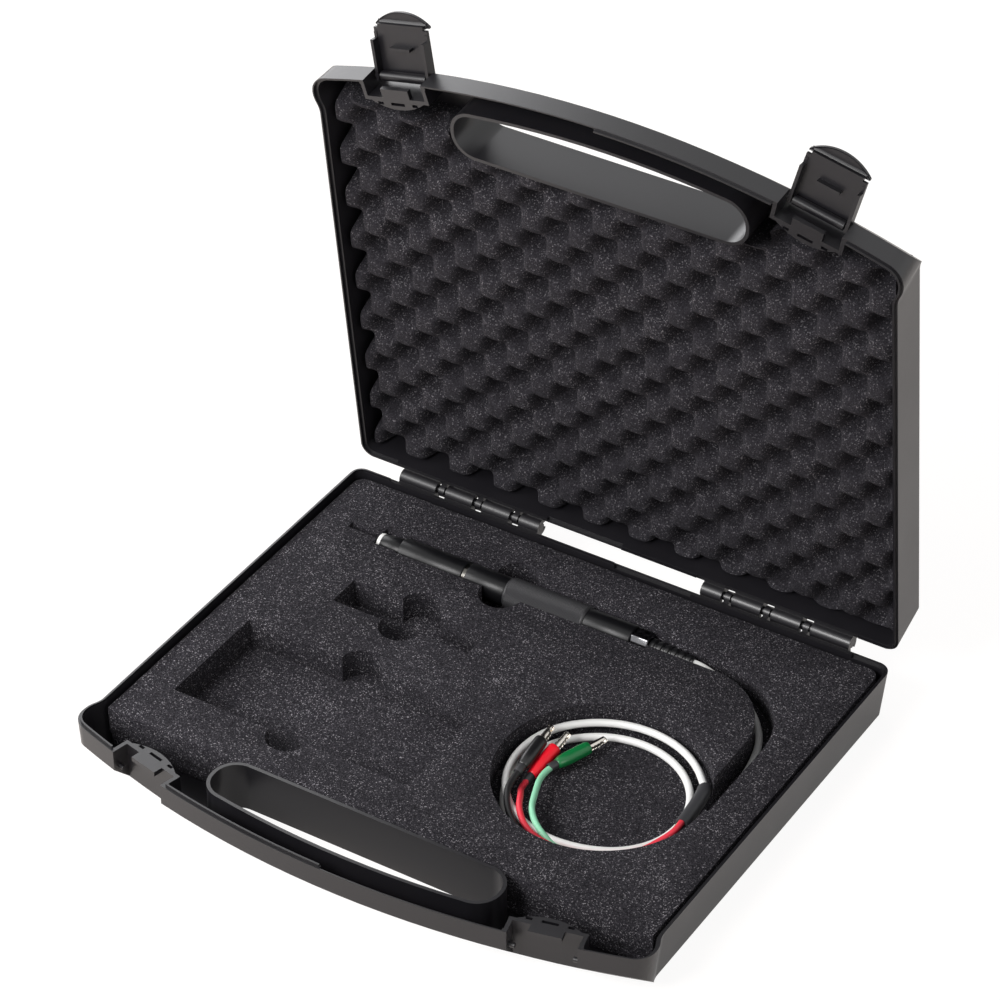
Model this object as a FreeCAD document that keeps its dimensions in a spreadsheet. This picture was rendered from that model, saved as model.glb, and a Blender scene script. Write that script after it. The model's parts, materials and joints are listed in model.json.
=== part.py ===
import FreeCAD, Part
import math
import os

import Sketcher
from FreeCAD import Placement, Rotation, Vector

doc = FreeCAD.newDocument("probe_case")
sheet = doc.addObject("Spreadsheet::Sheet", "Sizes")

driving_sizes = {
    "case_width": 310.0,
    "case_depth": 266.8,
    "half_height": 26.67,
    "seam_gap": 0.3,
    "shell_wall": 2.2,
    "shell_floor": 2.0,
    "side_draft": 2.6,
    "back_radius": 7.0,
    "front_bow": 490.0,
    "front_radius": 11.0,
    "front_edge": 11.4,
    "bulge_out": 3.1,
    "bulge_run": 12.5,
    "lip_height": 1.2,
    "lip_inset": 1.2,
    "lip_gap": 0.45,
    "handle_side": 16.5,
    "handle_gap": 28.4,
    "handle_bar": 13.4,
    "handle_radius": 11.0,
    "handle_wall": 1.8,
    "niche_in": 43.75,
    "niche_half": 16.75,
    "niche_depth": 9.0,
    "niche_wall": 2.0,
    "ledge_radius": 28.3,
    "ledge_thick": 2.5,
    "ledge_reach": 6.5,
    "catch_half": 8.0,
    "stub_radius": 1.25,
    "stub_drop": 10.5,
    "stub_set": 4.0,
    "stub_grip": 1.8,
    "latch_half": 15.6,
    "latch_reach": 23.5,
    "latch_lip": 7.5,
    "latch_wall": 1.6,
    "latch_head": 2.0,
    "latch_barrel": 2.4,
    "latch_rib_half": 6.0,
    "latch_rib_drop": 13.4,
    "latch_rib_thick": 1.4,
    "latch_rib_tip": 1.2,
    "latch_crest": 2.2,
    "latch_crest_high": 1.8,
    "latch_tab_radius": 23.0,
    "latch_play": 0.5,
    "hinge_out": 5.4,
    "hinge_radius": 4.2,
    "hinge_rod": 2.2,
    "hinge_play": 0.08,
    "hinge_start": 47.0,
    "hinge_first": 11.5,
    "hinge_last": 21.5,
    "hinge_pitch": 22.0,
    "hinge_space": 6.0,
    "hinge_lug": 3.2,
    "hinge_web": 8.5,
    "hinge_mouth": 3.7,
    "hinge_clear": 3.5,
    "lid_angle": 82.58,
    "left_latch_angle": 102.0,
    "right_latch_angle": 104.0,
    "foam_clear": 0.58,
    "foam_gap": 0.3,
    "foam_corner": 6.0,
    "pad_top": 9.0,
    "tray_top": 24.5,
    "big_left": 131.5,
    "big_right": 2.0,
    "big_front": 61.6,
    "big_back": 1.4,
    "small_left": 105.3,
    "small_right": 26.5,
    "small_front": 36.2,
    "small_back": 55.4,
    "thumb_x": 65.5,
    "thumb_radius": 11.0,
    "coil_x": 75.3,
    "coil_y": 7.6,
    "coil_recess": 52.5,
    "groove_x": 80.0,
    "groove_y": 47.4,
    "groove_radius": 45.4,
    "groove_half": 4.6,
    "egg_pitch": 13.45,
    "egg_base": 8.6,
    "egg_top": 4.6,
    "egg_rise": 9.4,
    "egg_clear": 5.4,
    "egg_side": 13.07,
    "egg_front": 16.82,
    "slot_lead": 18.0,
    "probe_start": 114.0,
    "probe_y": 92.4,
    "probe_z": 20.0,
    "ring_long": 2.0,
    "ring_radius": 5.3,
    "nose_long": 12.0,
    "nose_radius": 6.4,
    "barrel_radius": 7.4,
    "front_long": 37.5,
    "joint_long": 2.0,
    "joint_radius": 6.7,
    "middle_long": 23.0,
    "grip_long": 45.5,
    "grip_radius": 8.2,
    "rear_long": 26.5,
    "nut_long": 9.5,
    "nut_radius": 7.2,
    "relief_long": 24.0,
    "relief_radius": 4.6,
    "relief_end": 3.1,
    "barrel_bore": 5.55,
    "spigot_play": 0.05,
    "spigot_long": 6.0,
    "pin_out": 4.0,
    "pin_radius": 0.8,
    "pin_play": 0.05,
    "collar_radius": 1.9,
    "cable_radius": 1.9,
    "cable_play": 0.1,
    "lead_radius": 1.55,
    "splice_radius": 3.5,
    "coil_outer": 50.0,
    "coil_inner": 39.5,
    "coil_low": 11.2,
    "coil_high": 15.6,
    "boot_radius": 3.4,
    "boot_bore": 2.85,
    "boot_long": 19.5,
    "sleeve_radius": 2.1,
    "sleeve_long": 5.0,
    "jaw_tip": 30.2,
    "jaw_pivot": 17.0,
    "jaw_sheet": 0.5,
    "rivet_radius": 0.6,
}
for row, (alias, value) in enumerate(driving_sizes.items(), start=1):
    sheet.set(f"A{row}", alias)
    sheet.set(f"B{row}", str(value))
    sheet.setAlias(f"B{row}", alias)
doc.recompute()


class Size:
    def __init__(self, value, text):
        self.value = value
        self.text = text

    def __add__(self, other):
        other = as_size(other)
        return Size(self.value + other.value, f"({self.text} + {other.text})")

    def __radd__(self, other):
        return as_size(other) + self

    def __sub__(self, other):
        other = as_size(other)
        return Size(self.value - other.value, f"({self.text} - {other.text})")

    def __rsub__(self, other):
        return as_size(other) - self

    def __mul__(self, other):
        other = as_size(other)
        return Size(self.value * other.value, f"({self.text} * {other.text})")

    __rmul__ = __mul__

    def __truediv__(self, other):
        other = as_size(other)
        return Size(self.value / other.value, f"({self.text} / {other.text})")

    def __neg__(self):
        return Size(-self.value, f"(0 - {self.text})")

    def __float__(self):
        return self.value


def as_size(item):
    if isinstance(item, Size):
        return item
    return Size(float(item), f"({float(item)})")


def known(alias):
    return Size(float(sheet.get(alias)), f"Sizes.{alias}")


def number(alias):
    return float(sheet.get(alias))


def bind(item, prop, size):
    item.setExpression(prop, as_size(size).text)


def place(item, x, y, z):
    for axis, size in zip("xyz", (x, y, z)):
        bind(item, f"Placement.Base.{axis}", size)


def box(name, x, y, z):
    item = doc.addObject("Part::Box", name)
    for prop, (low, high) in zip(("Length", "Width", "Height"), (x, y, z)):
        bind(item, prop, as_size(high) - low)
    place(item, x[0], y[0], z[0])
    return item


turns = {
    "x": Rotation(Vector(0, 1, 0), 90),
    "y": Rotation(Vector(1, 0, 0), -90),
    "z": Rotation(),
}


def rod(name, radius, length, at, along="z"):
    item = doc.addObject("Part::Cylinder", name)
    item.Placement = Placement(Vector(), turns[along])
    bind(item, "Radius", radius)
    bind(item, "Height", length)
    place(item, *at)
    return item


def joined(name, pieces):
    item = doc.addObject("Part::MultiFuse", name)
    item.Shapes = pieces
    return item


def cut(name, base, tools):
    item = doc.addObject("Part::Cut", name)
    item.Base = base
    item.Tool = tools[0] if len(tools) == 1 else joined(name + "_cutters", tools)
    return item


def solid(name, shape):
    item = doc.addObject("Part::Feature", name)
    item.Shape = shape
    return item


def turned(name, profile):
    body = doc.addObject("PartDesign::Body", name)
    sketch = body.newObject("Sketcher::SketchObject", name + "_profile")
    plane = [item for item in body.Origin.OriginFeatures if item.Role == "XY_Plane"][0]
    sketch.AttachmentSupport = (plane, [""])
    sketch.MapMode = "FlatFace"
    points = [(as_size(x), as_size(r)) for x, r in profile]
    count = len(points)
    for index, (x, r) in enumerate(points):
        far_x, far_r = points[(index + 1) % count]
        start = Vector(x.value, r.value, 0)
        end = Vector(far_x.value, far_r.value, 0)
        sketch.addGeometry(Part.LineSegment(start, end), False)
    for index in range(count):
        sketch.addConstraint(Sketcher.Constraint("Coincident", index, 2, (index + 1) % count, 1))
    for index, (x, r) in enumerate(points):
        for kind, size, axis in (("DistanceX", x, -2), ("DistanceY", r, -1)):
            if abs(size.value) < 1e-9:
                sketch.addConstraint(Sketcher.Constraint("PointOnObject", index, 1, axis))
            else:
                link = Sketcher.Constraint(kind, -1, 1, index, 1, size.value)
                number_of = sketch.addConstraint(link)
                sketch.setExpression(f"Constraints[{number_of}]", size.text)
    turn = body.newObject("PartDesign::Revolution", name + "_turn")
    turn.Profile = sketch
    turn.ReferenceAxis = (sketch, ["H_Axis"])
    turn.Angle = 360
    body.Tip = turn
    return body


def bend(start, corner, end):
    chord = end - start
    middle = start + chord * 0.5
    half = chord.Length / 2
    lean = (corner - start).getAngle(chord)
    rise = corner - middle
    rise.normalize()
    return Part.Arc(start, middle + rise * (half * math.tan(lean / 2)), end)


def tube(name, edges, radius):
    path = Part.Wire(edges)
    start = path.Edges[0].valueAt(path.Edges[0].FirstParameter)
    along = path.Edges[0].tangentAt(path.Edges[0].FirstParameter)
    ring = Part.Wire([Part.Circle(start, along, radius).toShape()])
    shape = path.makePipeShell([ring], True, False)
    wanted = math.pi * radius ** 2 * path.Length
    print(f"{name}: volume {shape.Volume:.1f}, section times length {wanted:.1f}")
    return shape


def corded(name, points, radius):
    runs = [points[i + 1] - points[i] for i in range(len(points) - 1)]
    edges = []
    here = points[0]
    least = 1e9
    for index in range(1, len(points) - 1):
        before = runs[index - 1]
        after = runs[index]
        half_turn = before.getAngle(after) / 2
        reach = 0.45 * min(before.Length, after.Length)
        least = min(least, reach / math.tan(half_turn))
        start = points[index] - Vector(before).normalize() * reach
        end = points[index] + Vector(after).normalize() * reach
        edges.append(Part.LineSegment(here, start).toShape())
        edges.append(bend(start, points[index], end).toShape())
        here = end
    edges.append(Part.LineSegment(here, points[-1]).toShape())
    print(f"{name}: tightest bend radius {least:.1f} on a cord {2 * radius:.2f} thick")
    return tube(name, edges, radius)


width = number("case_width")
depth = number("case_depth")
height = number("half_height")
wall = number("shell_wall")
floor = number("shell_floor")
rim = height - number("seam_gap") / 2
back = depth / 2
bow = number("front_bow")
bow_y = bow - depth / 2
hinge_y = back + number("hinge_out")
hinge_line = Vector(0, hinge_y, height)
opened = Placement(Vector(), Rotation(Vector(1, 0, 0), -number("lid_angle")), hinge_line)
turned_over = Placement(Vector(), Rotation(Vector(0, 1, 0), 180), Vector(0, 0, height))
niche_x = width / 2 - number("niche_in")
handle_half = niche_x - number("niche_half") - number("handle_side")
handle_back = known("case_depth") * 0.5 - known("handle_bar") - known("handle_gap")
foam_front = handle_back - known("handle_wall") - known("foam_clear")


def inset_at(level):
    draft = known("side_draft") * (1 - level / known("half_height"))
    return draft + known("shell_wall") + known("foam_clear")


def foam_half(level):
    return known("case_width") * 0.5 - inset_at(level)


def foam_back(level):
    return known("case_depth") * 0.5 - inset_at(level)


def case_wire(side, front, level):
    half = width / 2 - side
    rear = back - side
    corner = max(number("back_radius") - side, 2)
    out = number("bulge_out")
    run = number("bulge_run")
    turn_radius = (run ** 2 + out ** 2) / (4 * out)
    swing = math.asin(run / 2 / turn_radius) / 2
    radius = number("front_radius") - front
    reach = bow - front
    centre_x = half + out - radius
    centre_y = bow_y - math.sqrt((reach - radius) ** 2 - centre_x ** 2)
    slope = math.atan2(centre_y - bow_y, centre_x)

    def at(x, y):
        return Vector(x, y, level)

    def corner_point(angle):
        return at(centre_x + radius * math.cos(angle), centre_y + radius * math.sin(angle))

    half_way = at(half + out / 2, centre_y + run / 2)
    low_arc = at(half + turn_radius * (1 - math.cos(swing)), centre_y + run - turn_radius * math.sin(swing))
    high_arc = at(half + out - turn_radius * (1 - math.cos(swing)), centre_y + turn_radius * math.sin(swing))
    round_x = half - corner * (1 - math.sqrt(0.5))
    round_y = rear - corner * (1 - math.sqrt(0.5))
    right = [
        Part.Arc(at(half - corner, rear), at(round_x, round_y), at(half, rear - corner)),
        Part.LineSegment(at(half, rear - corner), at(half, centre_y + run)),
        Part.Arc(at(half, centre_y + run), low_arc, half_way),
        Part.Arc(half_way, high_arc, at(half + out, centre_y)),
        Part.Arc(at(half + out, centre_y), corner_point(slope / 2), corner_point(slope)),
    ]
    tip = corner_point(slope)
    front_arc = Part.Arc(tip, at(0, bow_y - reach), at(-tip.x, tip.y))
    rear_line = Part.LineSegment(at(corner - half, rear), at(half - corner, rear))
    left = []
    for curve in reversed(right):
        start, end = curve.EndPoint, curve.StartPoint
        middle = curve.value((curve.FirstParameter + curve.LastParameter) / 2)
        points = [at(-point.x, point.y) for point in (start, middle, end)]
        straight = isinstance(curve, Part.LineSegment)
        left.append(Part.LineSegment(points[0], points[2]) if straight else Part.Arc(*points))
    return Part.Wire([curve.toShape() for curve in [rear_line] + right + [front_arc] + left])


def case_solid(extra, low, high):
    draft = number("side_draft")
    wires = [case_wire(draft * (1 - level / height) + extra, extra, level) for level in (low, high)]
    return Part.makeLoft(wires, True, True)


def front_slope(extra):
    drop = height - number("front_edge")
    start = bow - drop - extra * math.sqrt(2)
    past = height / 4
    outline = [(start - past, -past), (start + drop + past, drop + past),
               (bow + height, drop + past), (bow + height, -past)]
    points = [Vector(r, bow_y, z) for r, z in outline]
    face = Part.Face(Part.makePolygon(points + points[:1]))
    return face.revolve(Vector(0, bow_y, 0), Vector(0, 0, 1), 360)


def handle_solid(grow, low, high):
    half = handle_half + grow
    rear = grow - handle_back.value
    radius = number("handle_radius") + grow
    reach = bow - number("handle_bar") + grow
    centre_x = half - radius
    centre_y = bow_y - math.sqrt((reach - radius) ** 2 - centre_x ** 2)
    slope = math.atan2(centre_y - bow_y, centre_x)

    def at(x, y):
        return Vector(x, y, low)

    def rounded(x_sign, angle, middle_y):
        return at(x_sign * (centre_x + radius * math.cos(angle)), middle_y + radius * math.sin(angle))

    top = rear - radius
    eighth = math.pi / 4
    curves = [Part.LineSegment(at(-centre_x, rear), at(centre_x, rear))]
    curves.append(Part.Arc(at(centre_x, rear), rounded(1, eighth, top), at(half, top)))
    curves.append(Part.LineSegment(at(half, top), at(half, centre_y)))
    curves.append(Part.Arc(at(half, centre_y), rounded(1, slope / 2, centre_y), rounded(1, slope, centre_y)))
    curves.append(Part.Arc(rounded(1, slope, centre_y), at(0, bow_y - reach), rounded(-1, slope, centre_y)))
    curves.append(Part.Arc(rounded(-1, slope, centre_y), rounded(-1, slope / 2, centre_y), at(-half, centre_y)))
    curves.append(Part.LineSegment(at(-half, centre_y), at(-half, top)))
    curves.append(Part.Arc(at(-half, top), rounded(-1, eighth, top), at(-centre_x, rear)))
    face = Part.Face(Part.Wire([curve.toShape() for curve in curves]))
    return face.extrude(Vector(0, 0, high - low))


def block(x, y, z):
    return Part.makeBox(x[1] - x[0], y[1] - y[0], z[1] - z[0], Vector(x[0], y[0], z[0]))


def bar(radius, x, y, z):
    return Part.makeCylinder(radius, x[1] - x[0], Vector(x[0], y, z), Vector(1, 0, 0))


def niche_frame(sign):
    angle = sign * math.asin(niche_x / bow)
    point = Vector(bow * math.sin(angle), bow_y - bow * math.cos(angle), 0)
    return Placement(point, Rotation(Vector(0, 0, 1), math.degrees(angle)))


def at_niche(shape, sign):
    moved = shape.copy()
    moved.Placement = niche_frame(sign)
    return moved


def hinge_spans():
    start = number("hinge_start")
    gap = number("hinge_space")
    pitch = number("hinge_pitch")
    first = start + number("hinge_first")
    last = first + gap + 2 * pitch
    spans = [(start, first)]
    for index in range(2):
        low = first + gap + index * pitch
        spans.append((low, low + pitch - gap))
    spans.append((last, last + number("hinge_last")))
    return spans


def shell_shape():
    outer = case_solid(0, 0, rim).cut(front_slope(0))
    cavity = case_solid(wall, floor, rim + 2).cut(front_slope(wall))
    shell = outer.cut(cavity)

    half = number("niche_half")
    set_back = number("niche_depth")
    niche_wall = number("niche_wall")
    past = height / 2
    full = (-past, rim + past)
    outside = half + niche_wall
    block_zone = block((-outside, outside), (-past, set_back + niche_wall), (0, rim))
    pocket = block((-half, half), (-past, set_back), full)
    lip_end = outside + number("lip_gap")
    lip_zone = block((-lip_end, lip_end), (-past, set_back + niche_wall + number("lip_gap")), full)
    stub_z = height - number("stub_drop")
    stub_y = number("stub_set")
    stub_end = number("latch_half") - number("stub_grip")
    stub_root = half + niche_wall / 2

    ledge_radius = number("ledge_radius")
    ledge_low = rim - number("ledge_thick")
    ledge_edge = set_back + number("ledge_reach")
    disc_centre = Vector(0, ledge_edge - ledge_radius, ledge_low)
    disc = Part.makeCylinder(ledge_radius, number("ledge_thick"), disc_centre)
    ledge = disc.common(block((-outside, outside), (set_back + niche_wall / 4, ledge_edge), (ledge_low, rim)))
    catch_half = number("catch_half")
    slot_y = (set_back + niche_wall * 1.3, set_back + niche_wall * 2.1)
    side_slot = catch_half * 1.25
    for x, reach in ((0, catch_half / 2), (-side_slot, catch_half / 5), (side_slot, catch_half / 5)):
        ledge = ledge.cut(block((x - reach, x + reach), slot_y, full))
    catch_y = (stub_y + number("seam_gap"), set_back + niche_wall / 4)
    catch = block((-catch_half, catch_half), catch_y, (ledge_low, rim))

    sleeve = handle_solid(number("handle_wall"), -1, rim).common(outer)
    added = [sleeve]
    for sign in (-1, 1):
        added.append(at_niche(block_zone, sign).common(outer))
    shell = shell.multiFuse(added)
    removed = [handle_solid(0, -2, rim + 4)]
    for sign in (-1, 1):
        removed.append(at_niche(pocket, sign))
    for tool in removed:
        shell = shell.cut(tool)

    extras = []
    for sign in (-1, 1):
        extras.append(at_niche(ledge, sign))
        extras.append(at_niche(catch, sign))
        extras.append(at_niche(bar(number("stub_radius"), (-stub_root, -stub_end), stub_y, stub_z), sign))
        extras.append(at_niche(bar(number("stub_radius"), (stub_end, stub_root), stub_y, stub_z), sign))

    hook = number("hinge_radius")
    pin = number("hinge_rod")
    web_y = (back - wall / 2, hinge_y)
    web_z = (height - number("hinge_web"), height - 2 * number("seam_gap"))
    mouth = number("hinge_mouth") / 2
    spans = hinge_spans()
    for low, high in spans:
        span = (-high, -low)
        beyond = (-high - hook, hook - low)
        piece = bar(hook, span, hinge_y, height).fuse(block(span, web_y, web_z))
        piece = piece.cut(bar(pin + number("hinge_play"), beyond, hinge_y, height))
        opening = block(beyond, (hinge_y, hinge_y + 2 * hook), (height - mouth, height + mouth))
        extras.append(piece.cut(opening))
    pivot = bar(pin, (spans[0][0], spans[-1][1]), hinge_y, height)
    half_lug = number("hinge_lug") / 2
    for (_, before), (after, _) in zip(spans, spans[1:]):
        middle = (before + after) / 2
        span = (middle - half_lug, middle + half_lug)
        lug = bar((pin + hook) / 2, span, hinge_y, height).fuse(block(span, web_y, web_z))
        pivot = pivot.fuse(lug)
    extras.append(pivot)

    lip_top = height + number("lip_height")
    lip_inset = number("lip_inset")
    slack = number("lip_gap")
    lip_base = rim - lip_inset / 2

    def ring(outer_inset, inner_inset, low, high):
        faces = [Part.Face(case_wire(inset, inset, low)) for inset in (outer_inset, inner_inset)]
        rings = [face.extrude(Vector(0, 0, high - low)) for face in faces]
        return rings[0].cut(rings[1])

    reach = width
    behind = (back - past, back + past)
    clear = number("hinge_clear")
    hinge_x = (spans[0][0] - clear, spans[-1][1] + clear)
    hinge_zone = block((-hinge_x[1], -hinge_x[0]), behind, full)
    other_zone = block(hinge_x, behind, full)
    raised = ring(lip_inset, wall * 0.95, lip_base, lip_top)
    raised = raised.common(block((-reach, -slack), (-reach, reach), full))
    raised = raised.cut(hinge_zone).cut(at_niche(lip_zone, -1))
    lowered = ring(lip_inset - slack, wall + slack, rim - number("lip_height") - slack, rim + wall)
    lowered = lowered.common(block((0, reach), (-reach, reach), full))
    lowered = lowered.cut(other_zone).cut(at_niche(lip_zone, 1))
    extras.append(raised)
    return shell.cut(lowered).multiFuse(extras).removeSplitter()


def latch(name, sign, angle):
    half = known("latch_half")
    sheet_wall = known("latch_wall")
    reach = known("latch_reach")
    set_in = known("stub_set")
    head = known("latch_head")
    barrel_radius = known("latch_barrel")
    play = known("latch_play")
    outer = known("seam_gap") - set_in
    inner = outer + sheet_wall
    plate = box(name + "_plate", (-half, half), (outer, inner), (-reach, head))
    flanges = []
    for side in (-1, 1):
        x = (-half, sheet_wall - half) if side < 0 else (half - sheet_wall, half)
        flange = box(f"{name}_flange_{side + 1}", x, (inner, head), (head - reach, head))
        flanges.append(flange)
    barrel = rod(name + "_barrel", barrel_radius, (half - barrel_radius) * 2, (barrel_radius - half, 0, 0), "x")
    rib_half = known("latch_rib_half")
    rib_top = -known("latch_rib_drop")
    rib = box(name + "_rib", (-rib_half, rib_half), (inner, known("latch_rib_tip")),
              (rib_top - known("latch_rib_thick"), rib_top))
    front = outer - known("latch_crest")
    crest_low = -reach - known("latch_crest_high")
    crest_half = half - barrel_radius
    crest = box(name + "_crest", (-crest_half, crest_half), (front, inner), (crest_low, -reach))
    tab_radius = known("latch_tab_radius")
    round_tab = rod(name + "_tab_disc", tab_radius, sheet_wall,
                    (0, front, tab_radius - reach - known("latch_lip")), "y")
    below = box(name + "_tab_zone", (-half, half), (front - sheet_wall, inner),
                (-reach - known("latch_lip") - sheet_wall, -reach - play))
    tab = doc.addObject("Part::Common", name + "_tab")
    tab.Base = round_tab
    tab.Tool = below
    whole = joined(name + "_whole", [plate, barrel, rib, crest, tab] + flanges)
    stub = known("stub_radius")
    far_stub = known("stub_drop") * -2
    notch_reach = stub + stub
    notch = box(name + "_notch", (-half - play, half + play), (-stub - play, head + play),
                (far_stub - notch_reach, far_stub + notch_reach))
    kept = sheet_wall + play - half
    keep = box(name + "_keep", (kept, -kept), (-set_in, head + set_in),
               (far_stub - notch_reach - play, far_stub + notch_reach + play))
    notches = cut(name + "_notches", notch, [keep])
    eye_long = known("stub_grip") + known("latch_head")
    eyes = []
    for side, x in ((0, -half - play), (1, half + play - eye_long)):
        eyes.append(rod(f"{name}_eye_{side}", stub + known("hinge_play"), eye_long, (x, 0, 0), "x"))
    piece = cut(name, whole, [notches] + eyes)
    swing = Placement(Vector(), Rotation(Vector(1, 0, 0), -number(angle)))
    pivot = Placement(Vector(0, number("stub_set"), height + number("stub_drop")), Rotation())
    piece.Placement = opened.multiply(niche_frame(sign)).multiply(pivot).multiply(swing)
    return piece


def foam_pad():
    low = known("shell_floor")
    half = foam_half(low)
    rear = foam_back(low)
    pad = box("base_foam_pad_block", (-half, half), (-foam_front, rear), (low, known("pad_top")))
    corners = []
    for side in (-1, 1):
        corners.append(corner_cut(f"base_foam_pad_corner_{side + 1}", side, half, rear))
    return cut("base_foam_pad", pad, corners)


def corner_cut(name, side, half, rear):
    radius = known("foam_corner")
    past = half + known("foam_clear")
    x = (half - radius, past) if side > 0 else (-past, radius - half)
    y = (rear - radius, rear + known("foam_clear"))
    square = box(name + "_square", x, y, (0, known("half_height") * 2))
    centre_x = half - radius if side > 0 else radius - half
    disc = rod(name + "_disc", radius, known("half_height") * 2, (centre_x, rear - radius, 0))
    return cut(name, square, [disc])


def foam_tray():
    low = known("pad_top")
    high = known("tray_top")
    half = foam_half(low)
    rear = foam_back(low)
    through = (low - 1, high + 1)
    tray = box("base_foam_tray_block", (-half, half), (-foam_front, rear), (low, high))
    tools = []
    for side in (-1, 1):
        tools.append(corner_cut(f"base_foam_tray_corner_{side + 1}", side, half, rear))
    tools.append(box("big_recess", (-known("big_left"), known("big_right")),
                     (-known("big_front"), known("big_back")), through))
    tools.append(box("small_recess", (-known("small_left"), -known("small_right")),
                     (known("small_front"), known("small_back")), through))
    deep = high - low + 2
    for name, y in (("big_thumb_front", -known("big_front")), ("big_thumb_back", known("big_back")),
                    ("small_thumb_front", known("small_front")), ("small_thumb_back", known("small_back"))):
        tools.append(rod(name, known("thumb_radius"), deep, (-known("thumb_x"), y, low - 1)))
    tools.append(rod("coil_recess", known("coil_recess"), deep, (known("coil_x"), -known("coil_y"), low - 1)))

    gap = known("foam_gap")
    y = known("probe_y")
    x = -known("probe_start") - known("slot_lead")
    front_part = known("front_long") + known("joint_long") + known("middle_long")
    stations = [
        (known("slot_lead"), known("collar_radius")),
        (known("ring_long") + known("nose_long"), known("nose_radius")),
        (front_part, known("barrel_radius")),
        (known("grip_long"), known("grip_radius")),
        (known("rear_long"), known("barrel_radius")),
        (known("nut_long"), known("nut_radius")),
        (known("relief_long"), known("relief_radius")),
        (known("groove_half") * 3, known("groove_half")),
    ]
    for index, (length, radius) in enumerate(stations):
        side = radius + gap
        tools.append(box(f"probe_slot_{index}", (x - gap, x + length + gap), (y - side, y + side), through))
        x = x + length
    grip_x = known("ring_long") + known("nose_long") + front_part - known("probe_start")
    grip = known("grip_radius")
    for name, edge in (("grip_thumb_front", y - grip), ("grip_thumb_back", y + grip)):
        tools.append(rod(name, known("thumb_radius") + known("foam_gap"), deep, (grip_x, edge, low - 1)))
    ring = rod("groove_outer", known("groove_radius") + known("groove_half"), deep,
               (known("groove_x"), known("groove_y"), low - 1))
    core = rod("groove_inner", known("groove_radius") - known("groove_half"), deep + 2,
               (known("groove_x"), known("groove_y"), low - 2))
    ring.Angle = 90
    tools.append(cut("groove_bend", ring, [core]))
    right = known("groove_x") + known("groove_radius")
    tools.append(box("groove_straight", (right - known("groove_half"), right + known("groove_half")),
                     (known("groove_half") - known("coil_y"), known("groove_y") + gap), through))
    return cut("base_foam_tray", tray, tools)


def lid_foam():
    half = foam_half(known("shell_floor")).value
    rear = foam_back(known("shell_floor")).value
    front = -foam_front.value
    base = 2 * height - floor
    rise = number("egg_rise")
    low = height + number("egg_clear") + rise
    shape = block((-half, half), (front, rear), (low, base))
    pitch = number("egg_pitch")
    foot = number("egg_base")
    lobes = []
    for row in range(-1, int((rear - front) / pitch) + 1):
        y = front + number("egg_front") + row * pitch
        for column in range(-1, int(2 * half / pitch) + 1):
            x = number("egg_side") - half + column * pitch
            fits = abs(x) < half - foot and front + foot < y < rear - foot
            if fits and (row + column) % 2 == 0:
                lobes.append(Part.makeCone(number("egg_top"), foot, rise + number("foam_gap"),
                                           Vector(x, y, low - rise)))
    print(f"lid_foam: {len(lobes)} lobes")
    for side in (-1, 1):
        radius = number("foam_corner")
        square = block((half - radius, half + 1), (rear - radius, rear + 1), (low - 1, base + 1))
        disc = Part.makeCylinder(radius, base + 2, Vector(half - radius, rear - radius, 0))
        corner = square.cut(disc)
        if side < 0:
            corner = corner.mirror(Vector(), Vector(1, 0, 0))
        shape = shape.cut(corner)
    piece = solid("lid_foam", shape.multiFuse(lobes))
    piece.Placement = opened
    return piece


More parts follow.
